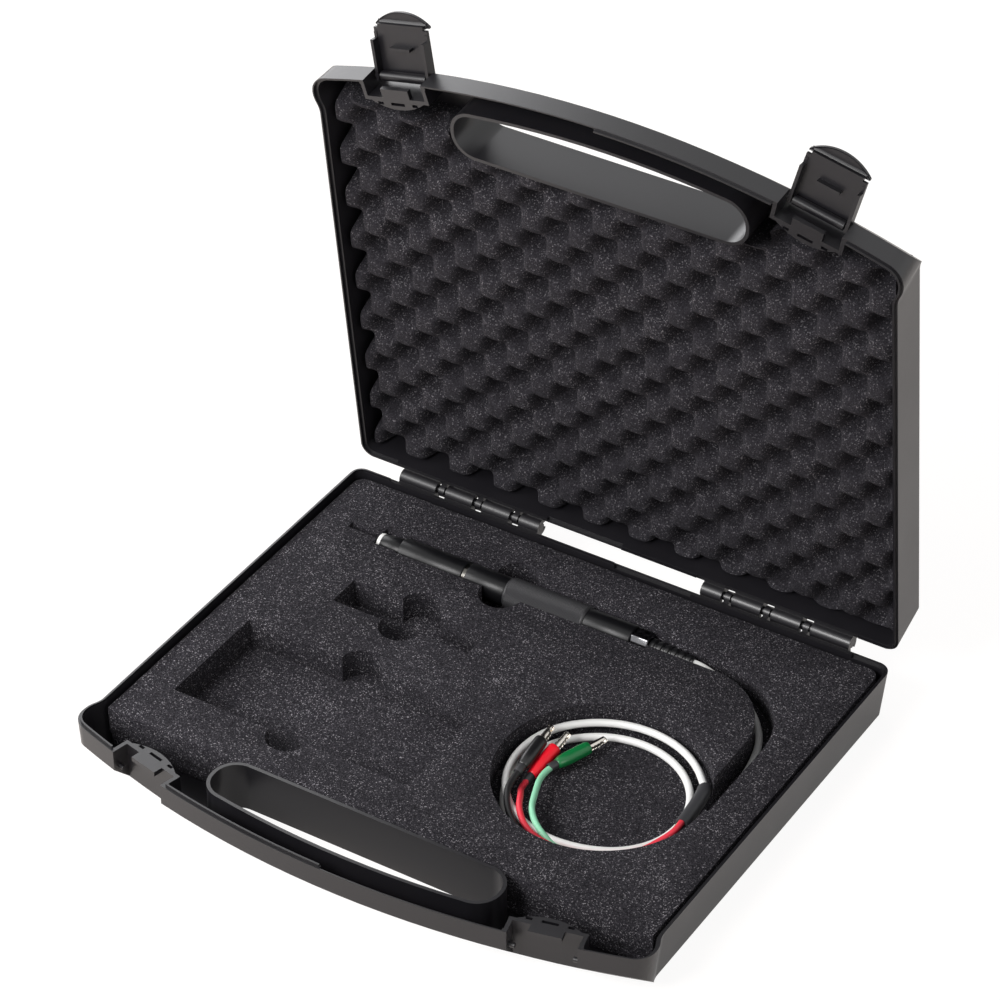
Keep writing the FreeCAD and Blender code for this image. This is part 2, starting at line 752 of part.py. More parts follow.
def probe_pieces():
    y = known("probe_y")
    z = known("probe_z")
    bore = known("barrel_bore")
    play = known("spigot_play")
    spigot = known("spigot_long")
    barrel = known("barrel_radius")
    ring = known("ring_long")
    nose_bore = 4.25
    edge = 0.6
    tip = -known("probe_start")
    nose_x = tip + ring
    front_x = nose_x + known("nose_long")
    joint_x = front_x + known("front_long")
    middle_x = joint_x + known("joint_long")
    grip_x = middle_x + known("middle_long")
    rear_x = grip_x + known("grip_long")
    nut_x = rear_x + known("rear_long")
    relief_x = nut_x + known("nut_long")
    end_x = relief_x + known("relief_long")
    pin = known("pin_radius")
    hole = pin + known("pin_play")
    collar = known("collar_radius")
    pieces = []

    def part(name, x, profile):
        body = turned(name, profile)
        place(body, x, y, z)
        pieces.append(body)

    def barrel_part(name, x, length, radius, hollow):
        part(name, x, [(0, hollow), (0, radius - edge), (edge, radius), (length - edge, radius),
                       (length, radius - edge), (length, hollow)])

    deep = collar + 0.3
    sleeve_end = 18
    collar_x = 8
    part("probe_insulator", tip,
         [(0, hole), (0, known("ring_radius")), (ring, known("ring_radius")), (ring, nose_bore - play),
          (sleeve_end, nose_bore - play), (sleeve_end, deep), (collar_x, deep), (collar_x, hole)])
    nose = known("nose_long")
    part("probe_nose", nose_x, [(0, nose_bore), (0, known("ring_radius")), (nose, known("nose_radius")),
                                (nose, bore - play), (nose + spigot, bore - play), (nose + spigot, nose_bore)])
    barrel_part("probe_front_barrel", front_x, known("front_long"), barrel, bore)
    wide = known("joint_long")
    part("probe_joint_ring", joint_x - spigot,
         [(0, 4), (0, bore - play), (spigot, bore - play), (spigot, known("joint_radius")),
          (spigot + wide, known("joint_radius")), (spigot + wide, bore - play),
          (spigot + wide + spigot, bore - play), (spigot + wide + spigot, 4)])
    barrel_part("probe_middle_barrel", middle_x, known("middle_long"), barrel, bore)
    barrel_part("probe_grip", grip_x, known("grip_long"), known("grip_radius"), bore)
    barrel_part("probe_rear_barrel", rear_x, known("rear_long"), barrel, bore)
    core_long = known("middle_long") + known("grip_long") + known("rear_long") - spigot
    core_bore = 4.2
    part("probe_core_tube", middle_x + spigot,
         [(0, core_bore), (0, bore - play), (core_long, bore - play), (core_long, core_bore)])

    hexagon = doc.addObject("Part::Prism", "probe_gland_hexagon")
    hexagon.Polygon = 6
    hexagon.Placement = Placement(Vector(), turns["x"])
    bind(hexagon, "Circumradius", known("nut_radius"))
    bind(hexagon, "Height", known("nut_long"))
    place(hexagon, nut_x, y, z)
    stem = known("relief_end") + known("cable_play")
    pieces.append(cut("probe_gland_nut", hexagon, [rod("probe_gland_bore", stem, known("nut_long") + 2,
                                                       (nut_x - 1, y, z), "x")]))

    cable_hole = known("cable_radius") + known("cable_play")
    long = known("relief_long")
    wide_end = known("relief_radius")
    fall = (wide_end - known("relief_end")) * (1 / 7)
    profile = [(0, cable_hole), (0, known("relief_end")), (6, known("relief_end"))]
    for rib in range(6):
        top = wide_end - fall * rib
        start = 6 + rib * 4.0
        profile += [(start + (0.0 if rib == 0 else 0.7), top), (start + 2.6, top), (start + 2.6, top - 0.9)]
        if rib < 5:
            profile += [(start + 4.7, top - 0.9)]
    profile[-1] = (long + 6, wide_end - fall * 5 - 0.9)
    profile[-2] = (long + 6, wide_end - fall * 5)
    profile = profile[:-1] + [(long + 6, cable_hole)]
    part("probe_strain_relief", relief_x - 6.0, profile)

    seat_wide = nose_bore - play * 5
    seat_long = 14
    seat_floor = 5.5
    cup_long = 8
    part("probe_spring_seat", tip + sleeve_end,
         [(0, deep), (0, seat_wide), (cup_long, seat_wide), (cup_long, 1.2), (seat_long, 1.2), (seat_long, 0),
          (seat_floor, 0), (seat_floor, deep)])
    out = known("pin_out")
    collar_start = out + collar_x + 0.2
    collar_end = collar_start + 2
    pin_end = out + 15
    part("probe_contact_pin", tip - out,
         [(0, 0), (0, 0.35), (1, pin), (collar_start, pin), (collar_start, collar), (collar_end, collar),
          (collar_end, pin), (pin_end, pin), (pin_end, 0)])
    spring_x = collar_end - out
    spring_long = 6.3
    part("probe_pin_spring", tip + spring_x,
         [(0, pin + 0.25), (0, collar - 0.2), (spring_long, collar - 0.2), (spring_long, pin + 0.25)])
    seat_end = sleeve_end + seat_long
    lead = rod("probe_inner_cable", known("cable_radius"), end_x - tip - seat_end, (tip + seat_end, y, z), "x")
    pieces.append(lead)
    return pieces, end_x.value


def polar(angle, radius, level):
    turn = math.radians(angle)
    return Vector(number("coil_x") + radius * math.cos(turn), radius * math.sin(turn) - number("coil_y"), level)


def coil_radius(turns_done):
    outer = number("coil_outer")
    inner = number("coil_inner")
    if turns_done < 1.2:
        return outer - (outer - inner) * turns_done / 1.2
    if turns_done < 1.58:
        return inner + (outer - inner) * (turns_done - 1.2) / 0.38
    return outer - 1.7 * (turns_done - 1.58) / 0.314


def coil_point(turns_done):
    low = number("coil_low")
    climb = min(max((turns_done - 1.0) / 0.4, 0), 1)
    smooth = climb * climb * (3 - 2 * climb)
    return polar(-360 * turns_done, coil_radius(turns_done), low + (number("coil_high") - low) * smooth)


coil_turns = 1.894


def coil_tangent(turns_done):
    step = 0.004
    along = coil_point(turns_done + step) - coil_point(turns_done - step)
    if turns_done < step:
        along = Vector(0, -1, 0)
    return along.normalize()


def coil_shape():
    marks = [coil_turns * index / 15 for index in range(16)]
    places = [coil_point(mark) for mark in marks]
    ways = [coil_tangent(mark) for mark in marks]
    straight = 2 * number("cable_radius")
    first = places[0] - ways[0] * straight
    last = places[-1] + ways[-1] * straight
    edges = [Part.LineSegment(first, places[0]).toShape()]
    for index in range(15):
        start, end = places[index], places[index + 1]
        leave, arrive = ways[index], ways[index + 1]
        chord = end - start
        a = 2 * (1 - leave.dot(arrive))
        b = 2 * chord.dot(leave + arrive)
        c = -chord.dot(chord)
        reach = (-b + math.sqrt(b * b - 4 * a * c)) / (2 * a)
        reach = abs(reach)
        first_corner = start + leave * reach
        last_corner = end - arrive * reach
        meet = (first_corner + last_corner) * 0.5
        edges.append(bend(start, first_corner, meet).toShape())
        edges.append(bend(meet, last_corner, end).toShape())
    edges.append(Part.LineSegment(places[-1], last).toShape())
    samples = [coil_point(coil_turns * index / 600) for index in range(601)]
    apart = 1e9
    for index, point in enumerate(samples):
        for other in samples[index + 150:]:
            apart = min(apart, point.distanceToPoint(other))
    gap = apart - 2 * number("cable_radius")
    print(f"probe_cable_coil: least gap between its own turns {gap:.2f}")
    return tube("probe_cable_coil", edges, number("cable_radius")), first, last, ways[-1]


clip_spots = {
    "red": {"tail": (-34.9, -6.0, 13.4), "aim": (-33.4, 15.0, 17.2)},
    "green": {"tail": (-27.3, 4.4, 16.2), "aim": (-20.9, 23.0, 15.8)},
    "black": {"tail": (-38.7, -8.3, 19.0), "aim": (-40.0, 13.0, 20.5)},
}
lead_routes = {
    "red": [(-18, 45.4, 18.2), (-36, 47.2, 18.2), (-54, 48.0, 18.2), (-72, 48.2, 18.0), (-90, 48.2, 17.9),
            (-107, 47.4, 17.7), (-124, 43.0, 19.4), (-141, 38.2, 17.8)],
    "green": [(-18, 43.4, 15.3), (-36, 44.2, 15.7), (-54, 44.8, 15.9), (-72, 44.9, 15.9), (-88, 44.6, 16.3),
              (-104, 42.2, 18.8), (-120, 37.8, 18.6), (-138, 32.2, 17.2)],
    "black": [(-18, 47.3, 15.1), (-36, 48.3, 14.9), (-54, 48.5, 14.8), (-72, 48.6, 14.7), (-90, 48.6, 14.7),
              (-107, 48.9, 14.8), (-124, 48.2, 17.7), (-141, 45.2, 19.9)],
}
lead_starts = {"red": (0.0, 1.9), "green": (-1.65, -0.95), "black": (1.65, -0.95)}


def clip_frame(colour):
    spot = clip_spots[colour]
    tail = Vector(*spot["tail"]) + Vector(number("coil_x"), -number("coil_y"), 0)
    along = Vector(*spot["aim"]) - Vector(*spot["tail"])
    along.normalize()
    side = Vector(0, 0, 1).cross(along)
    side.normalize()
    return Placement(tail, Rotation(along, side, along.cross(side), "XZY"))


def clip_pieces(colour):
    frame = clip_frame(colour)
    pieces = []

    def keep(item):
        item.Placement = frame.multiply(item.Placement)
        pieces.append(item)

    boot = known("boot_radius")
    bore = known("boot_bore")
    long = known("boot_long")
    hole = known("lead_radius") + known("cable_play")
    keep(turned(f"{colour}_boot", [(0, hole), (0, boot - 0.8), (3, boot), (long, boot), (long, bore),
                                   (2, bore), (2, hole)]))
    sleeve_long = known("sleeve_long")
    sleeve_radius = known("sleeve_radius")
    sleeve = turned(f"{colour}_lead_sleeve", [(0, hole), (0, sleeve_radius), (sleeve_long, sleeve_radius),
                                              (sleeve_long, hole)])
    sleeve.Placement = Placement(Vector(-number("sleeve_long"), 0, 0), Rotation())
    keep(sleeve)

    tip = known("jaw_tip")
    thick = known("jaw_sheet")
    pivot = known("jaw_pivot")
    rivet = known("rivet_radius")
    low = -1.75
    name = f"{colour}_lower_jaw"
    metal = [box(name + "_sheet", (3, tip), (-2.1, 2.1), (low, low + thick)),
             box(name + "_tooth", (tip - 1.4, tip), (-1.2, 1.2), (low, -0.25))]
    for side, y in ((0, (-2.1, thick - 2.1)), (1, (2.1 - thick, 2.1))):
        metal.append(box(f"{name}_ear_{side}", (pivot - 2, pivot + 2), y, (low, 1.0)))
    keep(cut(name, joined(name + "_whole", metal), [rod(name + "_eye", rivet + 0.02, 6, (pivot, -3, 0), "y")]))
    name = f"{colour}_upper_jaw"
    high = 1.35
    metal = [box(name + "_sheet", (4, tip), (-1.3, 1.3), (high, high + thick)),
             box(name + "_tooth", (tip - 1.4, tip), (-1.1, 1.1), (0.25, high + thick))]
    for side, y in ((0, (-1.3, thick - 1.4)), (1, (1.4 - thick, 1.3))):
        metal.append(box(f"{name}_ear_{side}", (pivot - 1.7, pivot + 1.7), y, (-0.9, high + thick)))
    keep(cut(name, joined(name + "_whole", metal), [rod(name + "_eye", rivet + 0.06, 6, (pivot, -3, 0), "y")]))
    name = f"{colour}_rivet"
    head_out = 2.1 + thick / 2
    rivet_parts = [rod(name + "_shank", rivet, 4.2, (pivot, -2.1, 0), "y")]
    for side, y in ((0, -head_out), (1, 2.1)):
        rivet_parts.append(rod(f"{name}_head_{side}", rivet * 1.5, thick / 2, (pivot, y, 0), "y"))
    keep(joined(name, rivet_parts))
    name = f"{colour}_clip_spring"
    keep(cut(name, rod(name + "_coil", 1.1, 1.5, (pivot, -0.75, 0), "y"),
             [rod(name + "_eye", rivet + 0.15, 3, (pivot, -1.5, 0), "y")]))
    return pieces


def cord_pieces(mouth_x):
    pieces = []
    radius = number("cable_radius")
    coil, coil_start, coil_end, coil_way = coil_shape()
    groove_x = number("groove_x")
    groove_y = number("groove_y")
    groove = number("groove_radius") - 1.8
    route = [Vector(mouth_x, number("probe_y"), number("probe_z")),
             Vector(mouth_x + 5, number("probe_y"), number("probe_z") - 0.2),
             Vector(mouth_x + 12, number("probe_y") - 1.2, number("probe_z") - 1.6)]
    for angle, level in ((78, 17.2), (60, 14.2), (42, 11.9), (24, 11.1), (8, 11.0)):
        turn = math.radians(angle)
        route.append(Vector(groove_x + groove * math.cos(turn), groove_y + groove * math.sin(turn), level))
    route.append(Vector(groove_x + groove, groove_y - 10, 11.0))
    route.append(Vector(groove_x + groove, groove_y - 25, 11.2))
    route += [coil_start + Vector(0, 16, 0), coil_start]
    pieces.append(solid("probe_cable", corded("probe_cable", route, radius)))
    pieces.append(solid("probe_cable_coil", coil))

    splice_corner = coil_end + coil_way * 4
    splice_end = polar(-3, 44.6, 16.0)
    pieces.append(solid("lead_splice", corded("lead_splice", [coil_end, splice_corner, splice_end],
                                              number("splice_radius"))))
    along = (splice_end - splice_corner).normalize()
    across = Vector(0, 0, 1).cross(along).normalize()
    above = along.cross(across)
    for colour, (outward, upward) in lead_starts.items():
        start = splice_end - across * -outward + above * upward
        tail = clip_frame(colour)
        path = [start, start + along * 6]
        path += [polar(*spot) for spot in lead_routes[colour]]
        path += [tail.multVec(Vector(-number("sleeve_long") - 4, 0, 0)), tail.multVec(Vector(1.9, 0, 0))]
        name = f"{colour}_lead"
        pieces.append(solid(name, corded(name, path, number("lead_radius"))))
    return pieces


base = solid("base_shell", shell_shape())
lid = solid("lid_shell", base.Shape.copy())
lid.Placement = opened.multiply(turned_over)
pieces = [base, lid, latch("latch_left", -1, "left_latch_angle"), latch("latch_right", 1, "right_latch_angle")]
pieces += [foam_pad(), foam_tray(), lid_foam()]
probe, mouth = probe_pieces()
pieces += probe
pieces += cord_pieces(mouth)
doc.recompute()
for clip_colour in clip_spots:
    pieces += clip_pieces(clip_colour)
doc.recompute()

for item in doc.Objects:
    if "Invalid" in item.State or "Error" in item.State:
        raise RuntimeError(f"{item.Name} did not compute: {item.State}")
os.makedirs("parts", exist_ok=True)
for piece in pieces:
    piece.Label = piece.Name
    shape = piece.Shape
    if shape.isNull() or not shape.isValid() or len(shape.Solids) != 1:
        raise RuntimeError(f"{piece.Name} is not one valid solid: {len(shape.Solids)} solids")
    shape.exportStep(f"parts/{piece.Label}.step")
print(f"{len(pieces)} pieces written")
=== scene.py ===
import json
import math

import bpy
from mathutils import Matrix, Vector
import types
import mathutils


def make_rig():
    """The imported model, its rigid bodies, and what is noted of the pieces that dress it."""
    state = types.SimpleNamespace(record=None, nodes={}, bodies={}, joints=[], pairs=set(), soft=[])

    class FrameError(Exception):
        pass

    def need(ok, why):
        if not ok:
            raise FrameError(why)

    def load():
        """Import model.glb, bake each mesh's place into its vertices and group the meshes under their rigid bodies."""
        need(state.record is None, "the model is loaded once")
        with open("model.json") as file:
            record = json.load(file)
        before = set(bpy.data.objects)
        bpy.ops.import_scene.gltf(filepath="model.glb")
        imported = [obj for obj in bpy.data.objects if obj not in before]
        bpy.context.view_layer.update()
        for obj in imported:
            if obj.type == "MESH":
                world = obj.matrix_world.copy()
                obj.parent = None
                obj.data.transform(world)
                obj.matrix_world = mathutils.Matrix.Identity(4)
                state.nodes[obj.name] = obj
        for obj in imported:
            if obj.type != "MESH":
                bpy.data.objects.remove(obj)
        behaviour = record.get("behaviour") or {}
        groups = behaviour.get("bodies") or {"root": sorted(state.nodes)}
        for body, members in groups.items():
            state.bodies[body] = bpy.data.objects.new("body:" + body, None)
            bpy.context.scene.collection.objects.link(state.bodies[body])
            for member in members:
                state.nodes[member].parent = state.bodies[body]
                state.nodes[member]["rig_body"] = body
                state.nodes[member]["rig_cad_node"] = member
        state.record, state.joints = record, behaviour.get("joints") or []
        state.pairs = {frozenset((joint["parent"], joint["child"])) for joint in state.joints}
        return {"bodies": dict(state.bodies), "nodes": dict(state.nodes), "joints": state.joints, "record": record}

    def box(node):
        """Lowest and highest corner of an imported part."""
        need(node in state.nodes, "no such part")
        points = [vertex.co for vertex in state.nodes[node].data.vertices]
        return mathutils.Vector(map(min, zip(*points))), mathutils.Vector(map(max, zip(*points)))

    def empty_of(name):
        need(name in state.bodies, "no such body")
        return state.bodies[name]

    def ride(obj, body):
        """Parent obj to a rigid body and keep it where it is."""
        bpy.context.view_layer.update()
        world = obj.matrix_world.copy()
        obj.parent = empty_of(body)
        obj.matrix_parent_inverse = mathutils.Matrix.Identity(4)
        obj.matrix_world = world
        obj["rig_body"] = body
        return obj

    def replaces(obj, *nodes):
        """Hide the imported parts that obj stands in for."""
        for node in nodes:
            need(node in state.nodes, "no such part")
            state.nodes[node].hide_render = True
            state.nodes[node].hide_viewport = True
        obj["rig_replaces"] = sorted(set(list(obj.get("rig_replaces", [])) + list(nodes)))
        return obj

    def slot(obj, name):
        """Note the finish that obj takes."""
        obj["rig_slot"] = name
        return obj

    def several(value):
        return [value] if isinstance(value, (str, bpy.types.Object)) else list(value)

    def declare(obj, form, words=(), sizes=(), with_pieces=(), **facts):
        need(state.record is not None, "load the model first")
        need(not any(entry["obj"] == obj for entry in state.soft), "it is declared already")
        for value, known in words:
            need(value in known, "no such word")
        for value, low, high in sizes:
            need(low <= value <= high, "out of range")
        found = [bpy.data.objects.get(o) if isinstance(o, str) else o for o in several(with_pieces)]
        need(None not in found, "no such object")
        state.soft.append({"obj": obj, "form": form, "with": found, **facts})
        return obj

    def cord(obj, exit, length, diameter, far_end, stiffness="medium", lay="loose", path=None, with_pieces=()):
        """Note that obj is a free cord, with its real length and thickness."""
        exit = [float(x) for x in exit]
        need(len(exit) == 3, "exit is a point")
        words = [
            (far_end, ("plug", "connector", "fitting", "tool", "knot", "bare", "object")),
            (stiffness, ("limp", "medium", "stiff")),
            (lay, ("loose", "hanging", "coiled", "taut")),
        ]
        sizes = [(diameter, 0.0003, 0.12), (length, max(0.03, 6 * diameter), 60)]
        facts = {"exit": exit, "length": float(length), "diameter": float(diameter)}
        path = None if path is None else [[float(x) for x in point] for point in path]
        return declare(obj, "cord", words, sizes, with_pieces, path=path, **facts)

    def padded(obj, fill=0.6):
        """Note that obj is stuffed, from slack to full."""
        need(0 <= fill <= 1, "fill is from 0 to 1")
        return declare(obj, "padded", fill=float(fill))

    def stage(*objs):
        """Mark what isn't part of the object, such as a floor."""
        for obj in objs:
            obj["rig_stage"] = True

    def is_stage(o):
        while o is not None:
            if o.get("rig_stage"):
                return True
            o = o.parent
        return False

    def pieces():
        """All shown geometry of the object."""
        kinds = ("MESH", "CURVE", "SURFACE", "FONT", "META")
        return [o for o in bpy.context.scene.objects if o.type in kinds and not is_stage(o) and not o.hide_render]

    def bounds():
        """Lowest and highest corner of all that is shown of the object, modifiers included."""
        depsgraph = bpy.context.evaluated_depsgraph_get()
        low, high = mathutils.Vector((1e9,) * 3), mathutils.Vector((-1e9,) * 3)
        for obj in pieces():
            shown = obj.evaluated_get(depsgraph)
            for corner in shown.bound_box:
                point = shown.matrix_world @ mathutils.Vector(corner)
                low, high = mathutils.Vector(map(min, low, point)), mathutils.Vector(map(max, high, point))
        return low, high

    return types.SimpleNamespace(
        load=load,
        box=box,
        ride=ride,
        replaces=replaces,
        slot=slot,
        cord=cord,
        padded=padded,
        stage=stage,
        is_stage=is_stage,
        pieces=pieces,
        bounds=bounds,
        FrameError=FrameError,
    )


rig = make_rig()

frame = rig.load()
cadCorners = [list(corner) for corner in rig.bounds()]
nodes = frame["nodes"]
mm = 0.001


class Signal:
    def __init__(self, look, socket):
        self.look = look
        self.socket = socket

    def join(self, operation, first, second):
        return self.look.node("ShaderNodeMath", {"operation": operation}, {0: first, 1: second})

    def __add__(self, other):
        return self.join("ADD", self, other)

    def __radd__(self, other):
        return self.join("ADD", other, self)

    def __rmul__(self, other):
        return self.join("MULTIPLY", other, self)


class Look:
    def __init__(self, name, owner=None):
        self.material = owner or bpy.data.materials.new(name)
        self.material.use_nodes = True
        self.tree = self.material.node_tree
        self.shader = self.tree.nodes.get("Principled BSDF")

    def node(self, kind, settings=(), sockets=(), out=0):
        item = self.tree.nodes.new(kind)
        for key, value in dict(settings).items():
            if key == "stops":
                stops = item.color_ramp.elements
                while len(stops) < len(value):
                    stops.new(1)
                for stop, (place, shade) in zip(stops, value):
                    stop.position = place
                    stop.color = (*shade, 1)
            else:
                setattr(item, key, value)
        self.feed(item, sockets)
        return Signal(self, item.outputs[out])

    def feed(self, item, sockets):
        for key, value in dict(sockets).items():
            if isinstance(value, Signal):
                self.tree.links.new(value.socket, item.inputs[key])
            else:
                item.inputs[key].default_value = value

    def shade(self, sockets):
        self.feed(self.shader, sockets)
        return self.material

    def place(self):
        return self.node("ShaderNodeTexCoord", out="Object")

    def noise(self, scale, detail=2, rough=0.5, at=None):
        return self.node("ShaderNodeTexNoise", (), {"Vector": at or self.place(), "Scale": scale,
                                                    "Detail": detail, "Roughness": rough})

    def blend(self, factor, first, second):
        return self.node("ShaderNodeMix", {"data_type": "RGBA"},
                         {0: factor, 6: (*first, 1), 7: (*second, 1)}, out=2)

    def bump(self, height, strength, distance):
        return self.node("ShaderNodeBump", (), {"Height": height, "Strength": strength, "Distance": distance})

    def ramp(self, value, stops):
        return self.node("ShaderNodeValToRGB", {"stops": stops}, {0: value})

    def stretched(self, scale):
        return self.node("ShaderNodeMapping", (), {"Vector": self.place(), "Scale": scale})

    def seen(self, direct, mirrored):
        camera, glossy, through = (self.node("ShaderNodeLightPath", out=f"Is {ray} Ray")
                                   for ray in ("Camera", "Glossy", "Transmission"))
        return direct * camera + mirrored * glossy + mirrored * through


# finishes

caseLook = {"dark": (0.0058, 0.0054, 0.007), "light": (0.0092, 0.0086, 0.0106), "grain": 2400, "cloud": 28,
            "rough": 0.25, "cloudRough": 0.1, "grainRough": 0.08, "bump": (0.1, 0.0001)}
foamLook = {"cell": 2000, "grain": 1300, "patch": 60, "cellShare": 0.62, "grainShare": 0.46, "patchShare": 0.16,
            "stops": (0.3, 0.6, 0.87, 0.97), "rough": 0.95, "gloss": 0.12, "pits": 0.5, "bump": (0.6, 0.0005)}
metalLook = {"lathe": (9000, 180, 180), "smudge": 160, "tone": 0.82, "wear": 0.1, "bump": 0.00005}
rubberLook = {"patch": 90, "wear": 0.12, "bump": (0.08, 0.0001)}


def caseFinish(name, gloss):
    look = Look(name)
    grain = look.noise(caseLook["grain"], 3)
    cloud = look.noise(caseLook["cloud"], 2)
    rough = caseLook["rough"] + caseLook["cloudRough"] * cloud + caseLook["grainRough"] * grain
    return look.shade({"Base Color": look.blend(cloud, caseLook["dark"], caseLook["light"]), "Roughness": rough,
                       "Normal": look.bump(grain, *caseLook["bump"]), "Specular IOR Level": gloss})


def foamFinish(name, shades):
    look = Look(name)
    place = look.place()
    cell = look.node("ShaderNodeTexVoronoi", (), {"Vector": place, "Scale": foamLook["cell"]}, out="Position")
    chance = look.node("ShaderNodeTexWhiteNoise", (), {"Vector": cell}, out="Value")
    grain = look.noise(foamLook["grain"], 3, 0.7, place)
    patch = look.noise(foamLook["patch"], 3, 0.6, place)
    mixed = foamLook["cellShare"] * chance + foamLook["grainShare"] * grain + foamLook["patchShare"] * patch
    colour = look.ramp(mixed, list(zip(foamLook["stops"], shades)))
    return look.shade({"Base Color": colour, "Roughness": foamLook["rough"], "Specular IOR Level": foamLook["gloss"],
                       "Normal": look.bump(grain + foamLook["pits"] * chance, *foamLook["bump"])})


def metalFinish(name, shade, rough, metallic, lines=0.0, gloss=0.5):
    look = Look(name)
    turned = look.noise(1, 2, 0.5, look.stretched(metalLook["lathe"]))
    smudge = look.noise(metalLook["smudge"], 3)
    darker = tuple(metalLook["tone"] * part for part in shade)
    wear = metalLook["wear"]
    return look.shade({"Base Color": look.blend(smudge, darker, shade), "Metallic": metallic,
                       "Roughness": rough - wear / 2 + wear * smudge,
                       "Normal": look.bump(turned, lines, metalLook["bump"]), "Specular IOR Level": gloss})


def rubberFinish(name, shade, rough=0.45, tone=0.85, grain=2200):
    look = Look(name)
    dust = look.noise(grain, 2)
    patch = look.noise(rubberLook["patch"], 2)
    darker = tuple(tone * part for part in shade)
    wear = rubberLook["wear"]
    return look.shade({"Base Color": look.blend(patch, darker, shade), "Roughness": rough - wear / 2 + wear * dust,
                       "Normal": look.bump(dust, *rubberLook["bump"])})


finishes = {
    "case": caseFinish("satin_case_plastic", 0.55),
    "latch": caseFinish("latch_plastic", 0.36),
    "foam": foamFinish("charcoal_foam", [(0.0088, 0.0082, 0.0102), (0.0225, 0.0212, 0.0255),
                                         (0.046, 0.0434, 0.0505), (0.34, 0.325, 0.35)]),
    # the lid's foam is the tray's foam in darker shades: painted shade for the dimmer light on the upright lid, with
    # softer speckle too
    "lid_foam": foamFinish("charcoal_egg_foam_painted_shade", [(0.0115, 0.0108, 0.0132), (0.0188, 0.0178, 0.0214),
                                                 (0.0285, 0.027, 0.0318), (0.16, 0.153, 0.165)]),
    "white_plastic": rubberFinish("white_nylon", (0.82, 0.82, 0.8), 0.35, 0.95),
    "black_metal": metalFinish("black_anodised", (0.005, 0.005, 0.006), 0.33, 0.0, 0.08, 0.26),
    "knurl": metalFinish("black_knurl", (0.023, 0.0226, 0.0255), 0.5, 0.0),
    "bright_metal": metalFinish("dark_chrome", (0.13, 0.125, 0.115), 0.24, 1.0, 0.1),
    "nut": metalFinish("black_nickel", (0.2, 0.2, 0.21), 0.14, 1.0),
    "black_rubber": rubberFinish("black_sleeving", (0.036, 0.036, 0.04), 0.5),
    "brass": metalFinish("gold_plated", (0.85, 0.62, 0.28), 0.2, 1.0),
    "steel": metalFinish("nickel_plate", (0.74, 0.7, 0.64), 0.18, 1.0),
    "white_cable": rubberFinish("white_jacket", (0.86, 0.86, 0.85), 0.45, 0.94, 420),
    "red_cable": rubberFinish("red_jacket", (0.86, 0.04, 0.07), 0.42),
    "green_cable": rubberFinish("green_jacket", (0.3, 0.72, 0.47), 0.42),
    "black_cable": rubberFinish("black_jacket", (0.008, 0.008, 0.009), 0.5),
    "red_plastic": rubberFinish("red_boot", (0.97, 0.006, 0.024), 0.34, 0.95),
    "green_plastic": rubberFinish("green_boot", (0.006, 0.17, 0.045), 0.24),
    "black_plastic": rubberFinish("black_boot", (0.007, 0.007, 0.008), 0.3),
}
print("finishes ready:", len(finishes))


# bench helpers

def deselect():
    if bpy.context.object and bpy.context.object.mode != "OBJECT":
        bpy.ops.object.mode_set(mode="OBJECT")
    bpy.ops.object.select_all(action="DESELECT")


def pick(piece):
    deselect()
    bpy.context.view_layer.objects.active = piece
    piece.select_set(True)


def named(name):
    piece = bpy.context.object
    piece.name = name
    piece.data.name = name
    return piece


def startBlock(name, low, high):
    deselect()
    low = Vector(low)
    high = Vector(high)
    bpy.ops.mesh.primitive_cube_add(size=1, location=(low + high) / 2, scale=high - low)
    bpy.ops.object.transform_apply(location=True, rotation=True, scale=True)
    return named(name)


def startRod(name, radius, low, high, sides=64, along="z"):
    deselect()
    low = Vector(low)
    high = Vector(high)
    turn = {"z": (0, 0, 0), "x": (0, math.pi / 2, 0)}[along]
    bpy.ops.mesh.primitive_cylinder_add(vertices=sides, radius=radius, depth=(high - low).length,
                                        location=(low + high) / 2, rotation=turn)
    bpy.ops.object.transform_apply(location=True, rotation=True, scale=True)
    return named(name)


def modify(piece, kind, **settings):
    pick(piece)
    modifier = piece.modifiers.new(kind.lower(), kind)
    for key, value in settings.items():
        setattr(modifier, key, value)
    bpy.ops.object.modifier_apply(modifier=modifier.name)


def cutAway(piece, cutter):
    modify(piece, "BOOLEAN", object=cutter, operation="DIFFERENCE", solver="EXACT")
    bpy.data.objects.remove(cutter)


def soften(piece, width, angle, segments=2):
    modify(piece, "BEVEL", width=width, segments=segments, limit_method="ANGLE", angle_limit=math.radians(angle),
           use_clamp_overlap=True)


def smooth(piece, angle):
    pick(piece)
    bpy.ops.object.shade_smooth_by_angle(angle=math.radians(angle))


def editing(piece):
    pick(piece)
    bpy.ops.object.mode_set(mode="EDIT")
    bpy.ops.mesh.select_mode(type="VERT")
    bpy.ops.mesh.select_all(action="SELECT")


def tidyMesh(piece):
    editing(piece)
    bpy.ops.mesh.remove_doubles(threshold=0.002 * mm)
    bpy.ops.mesh.normals_make_consistent(inside=False)
    bpy.ops.object.mode_set(mode="OBJECT")


def choose(piece, test):
    editing(piece)
    bpy.ops.mesh.select_all(action="DESELECT")
    bpy.ops.object.mode_set(mode="OBJECT")
    for vertex in piece.data.vertices:
        vertex.select = test(vertex.co)
    bpy.ops.object.mode_set(mode="EDIT")


def shift(piece, test, offset):
    choose(piece, test)
    bpy.ops.transform.translate(value=offset)
    bpy.ops.object.mode_set(mode="OBJECT")


def squeeze(piece, test, scale, centre):
    choose(piece, test)
    bpy.ops.transform.resize(value=scale, center_override=centre)
    bpy.ops.object.mode_set(mode="OBJECT")


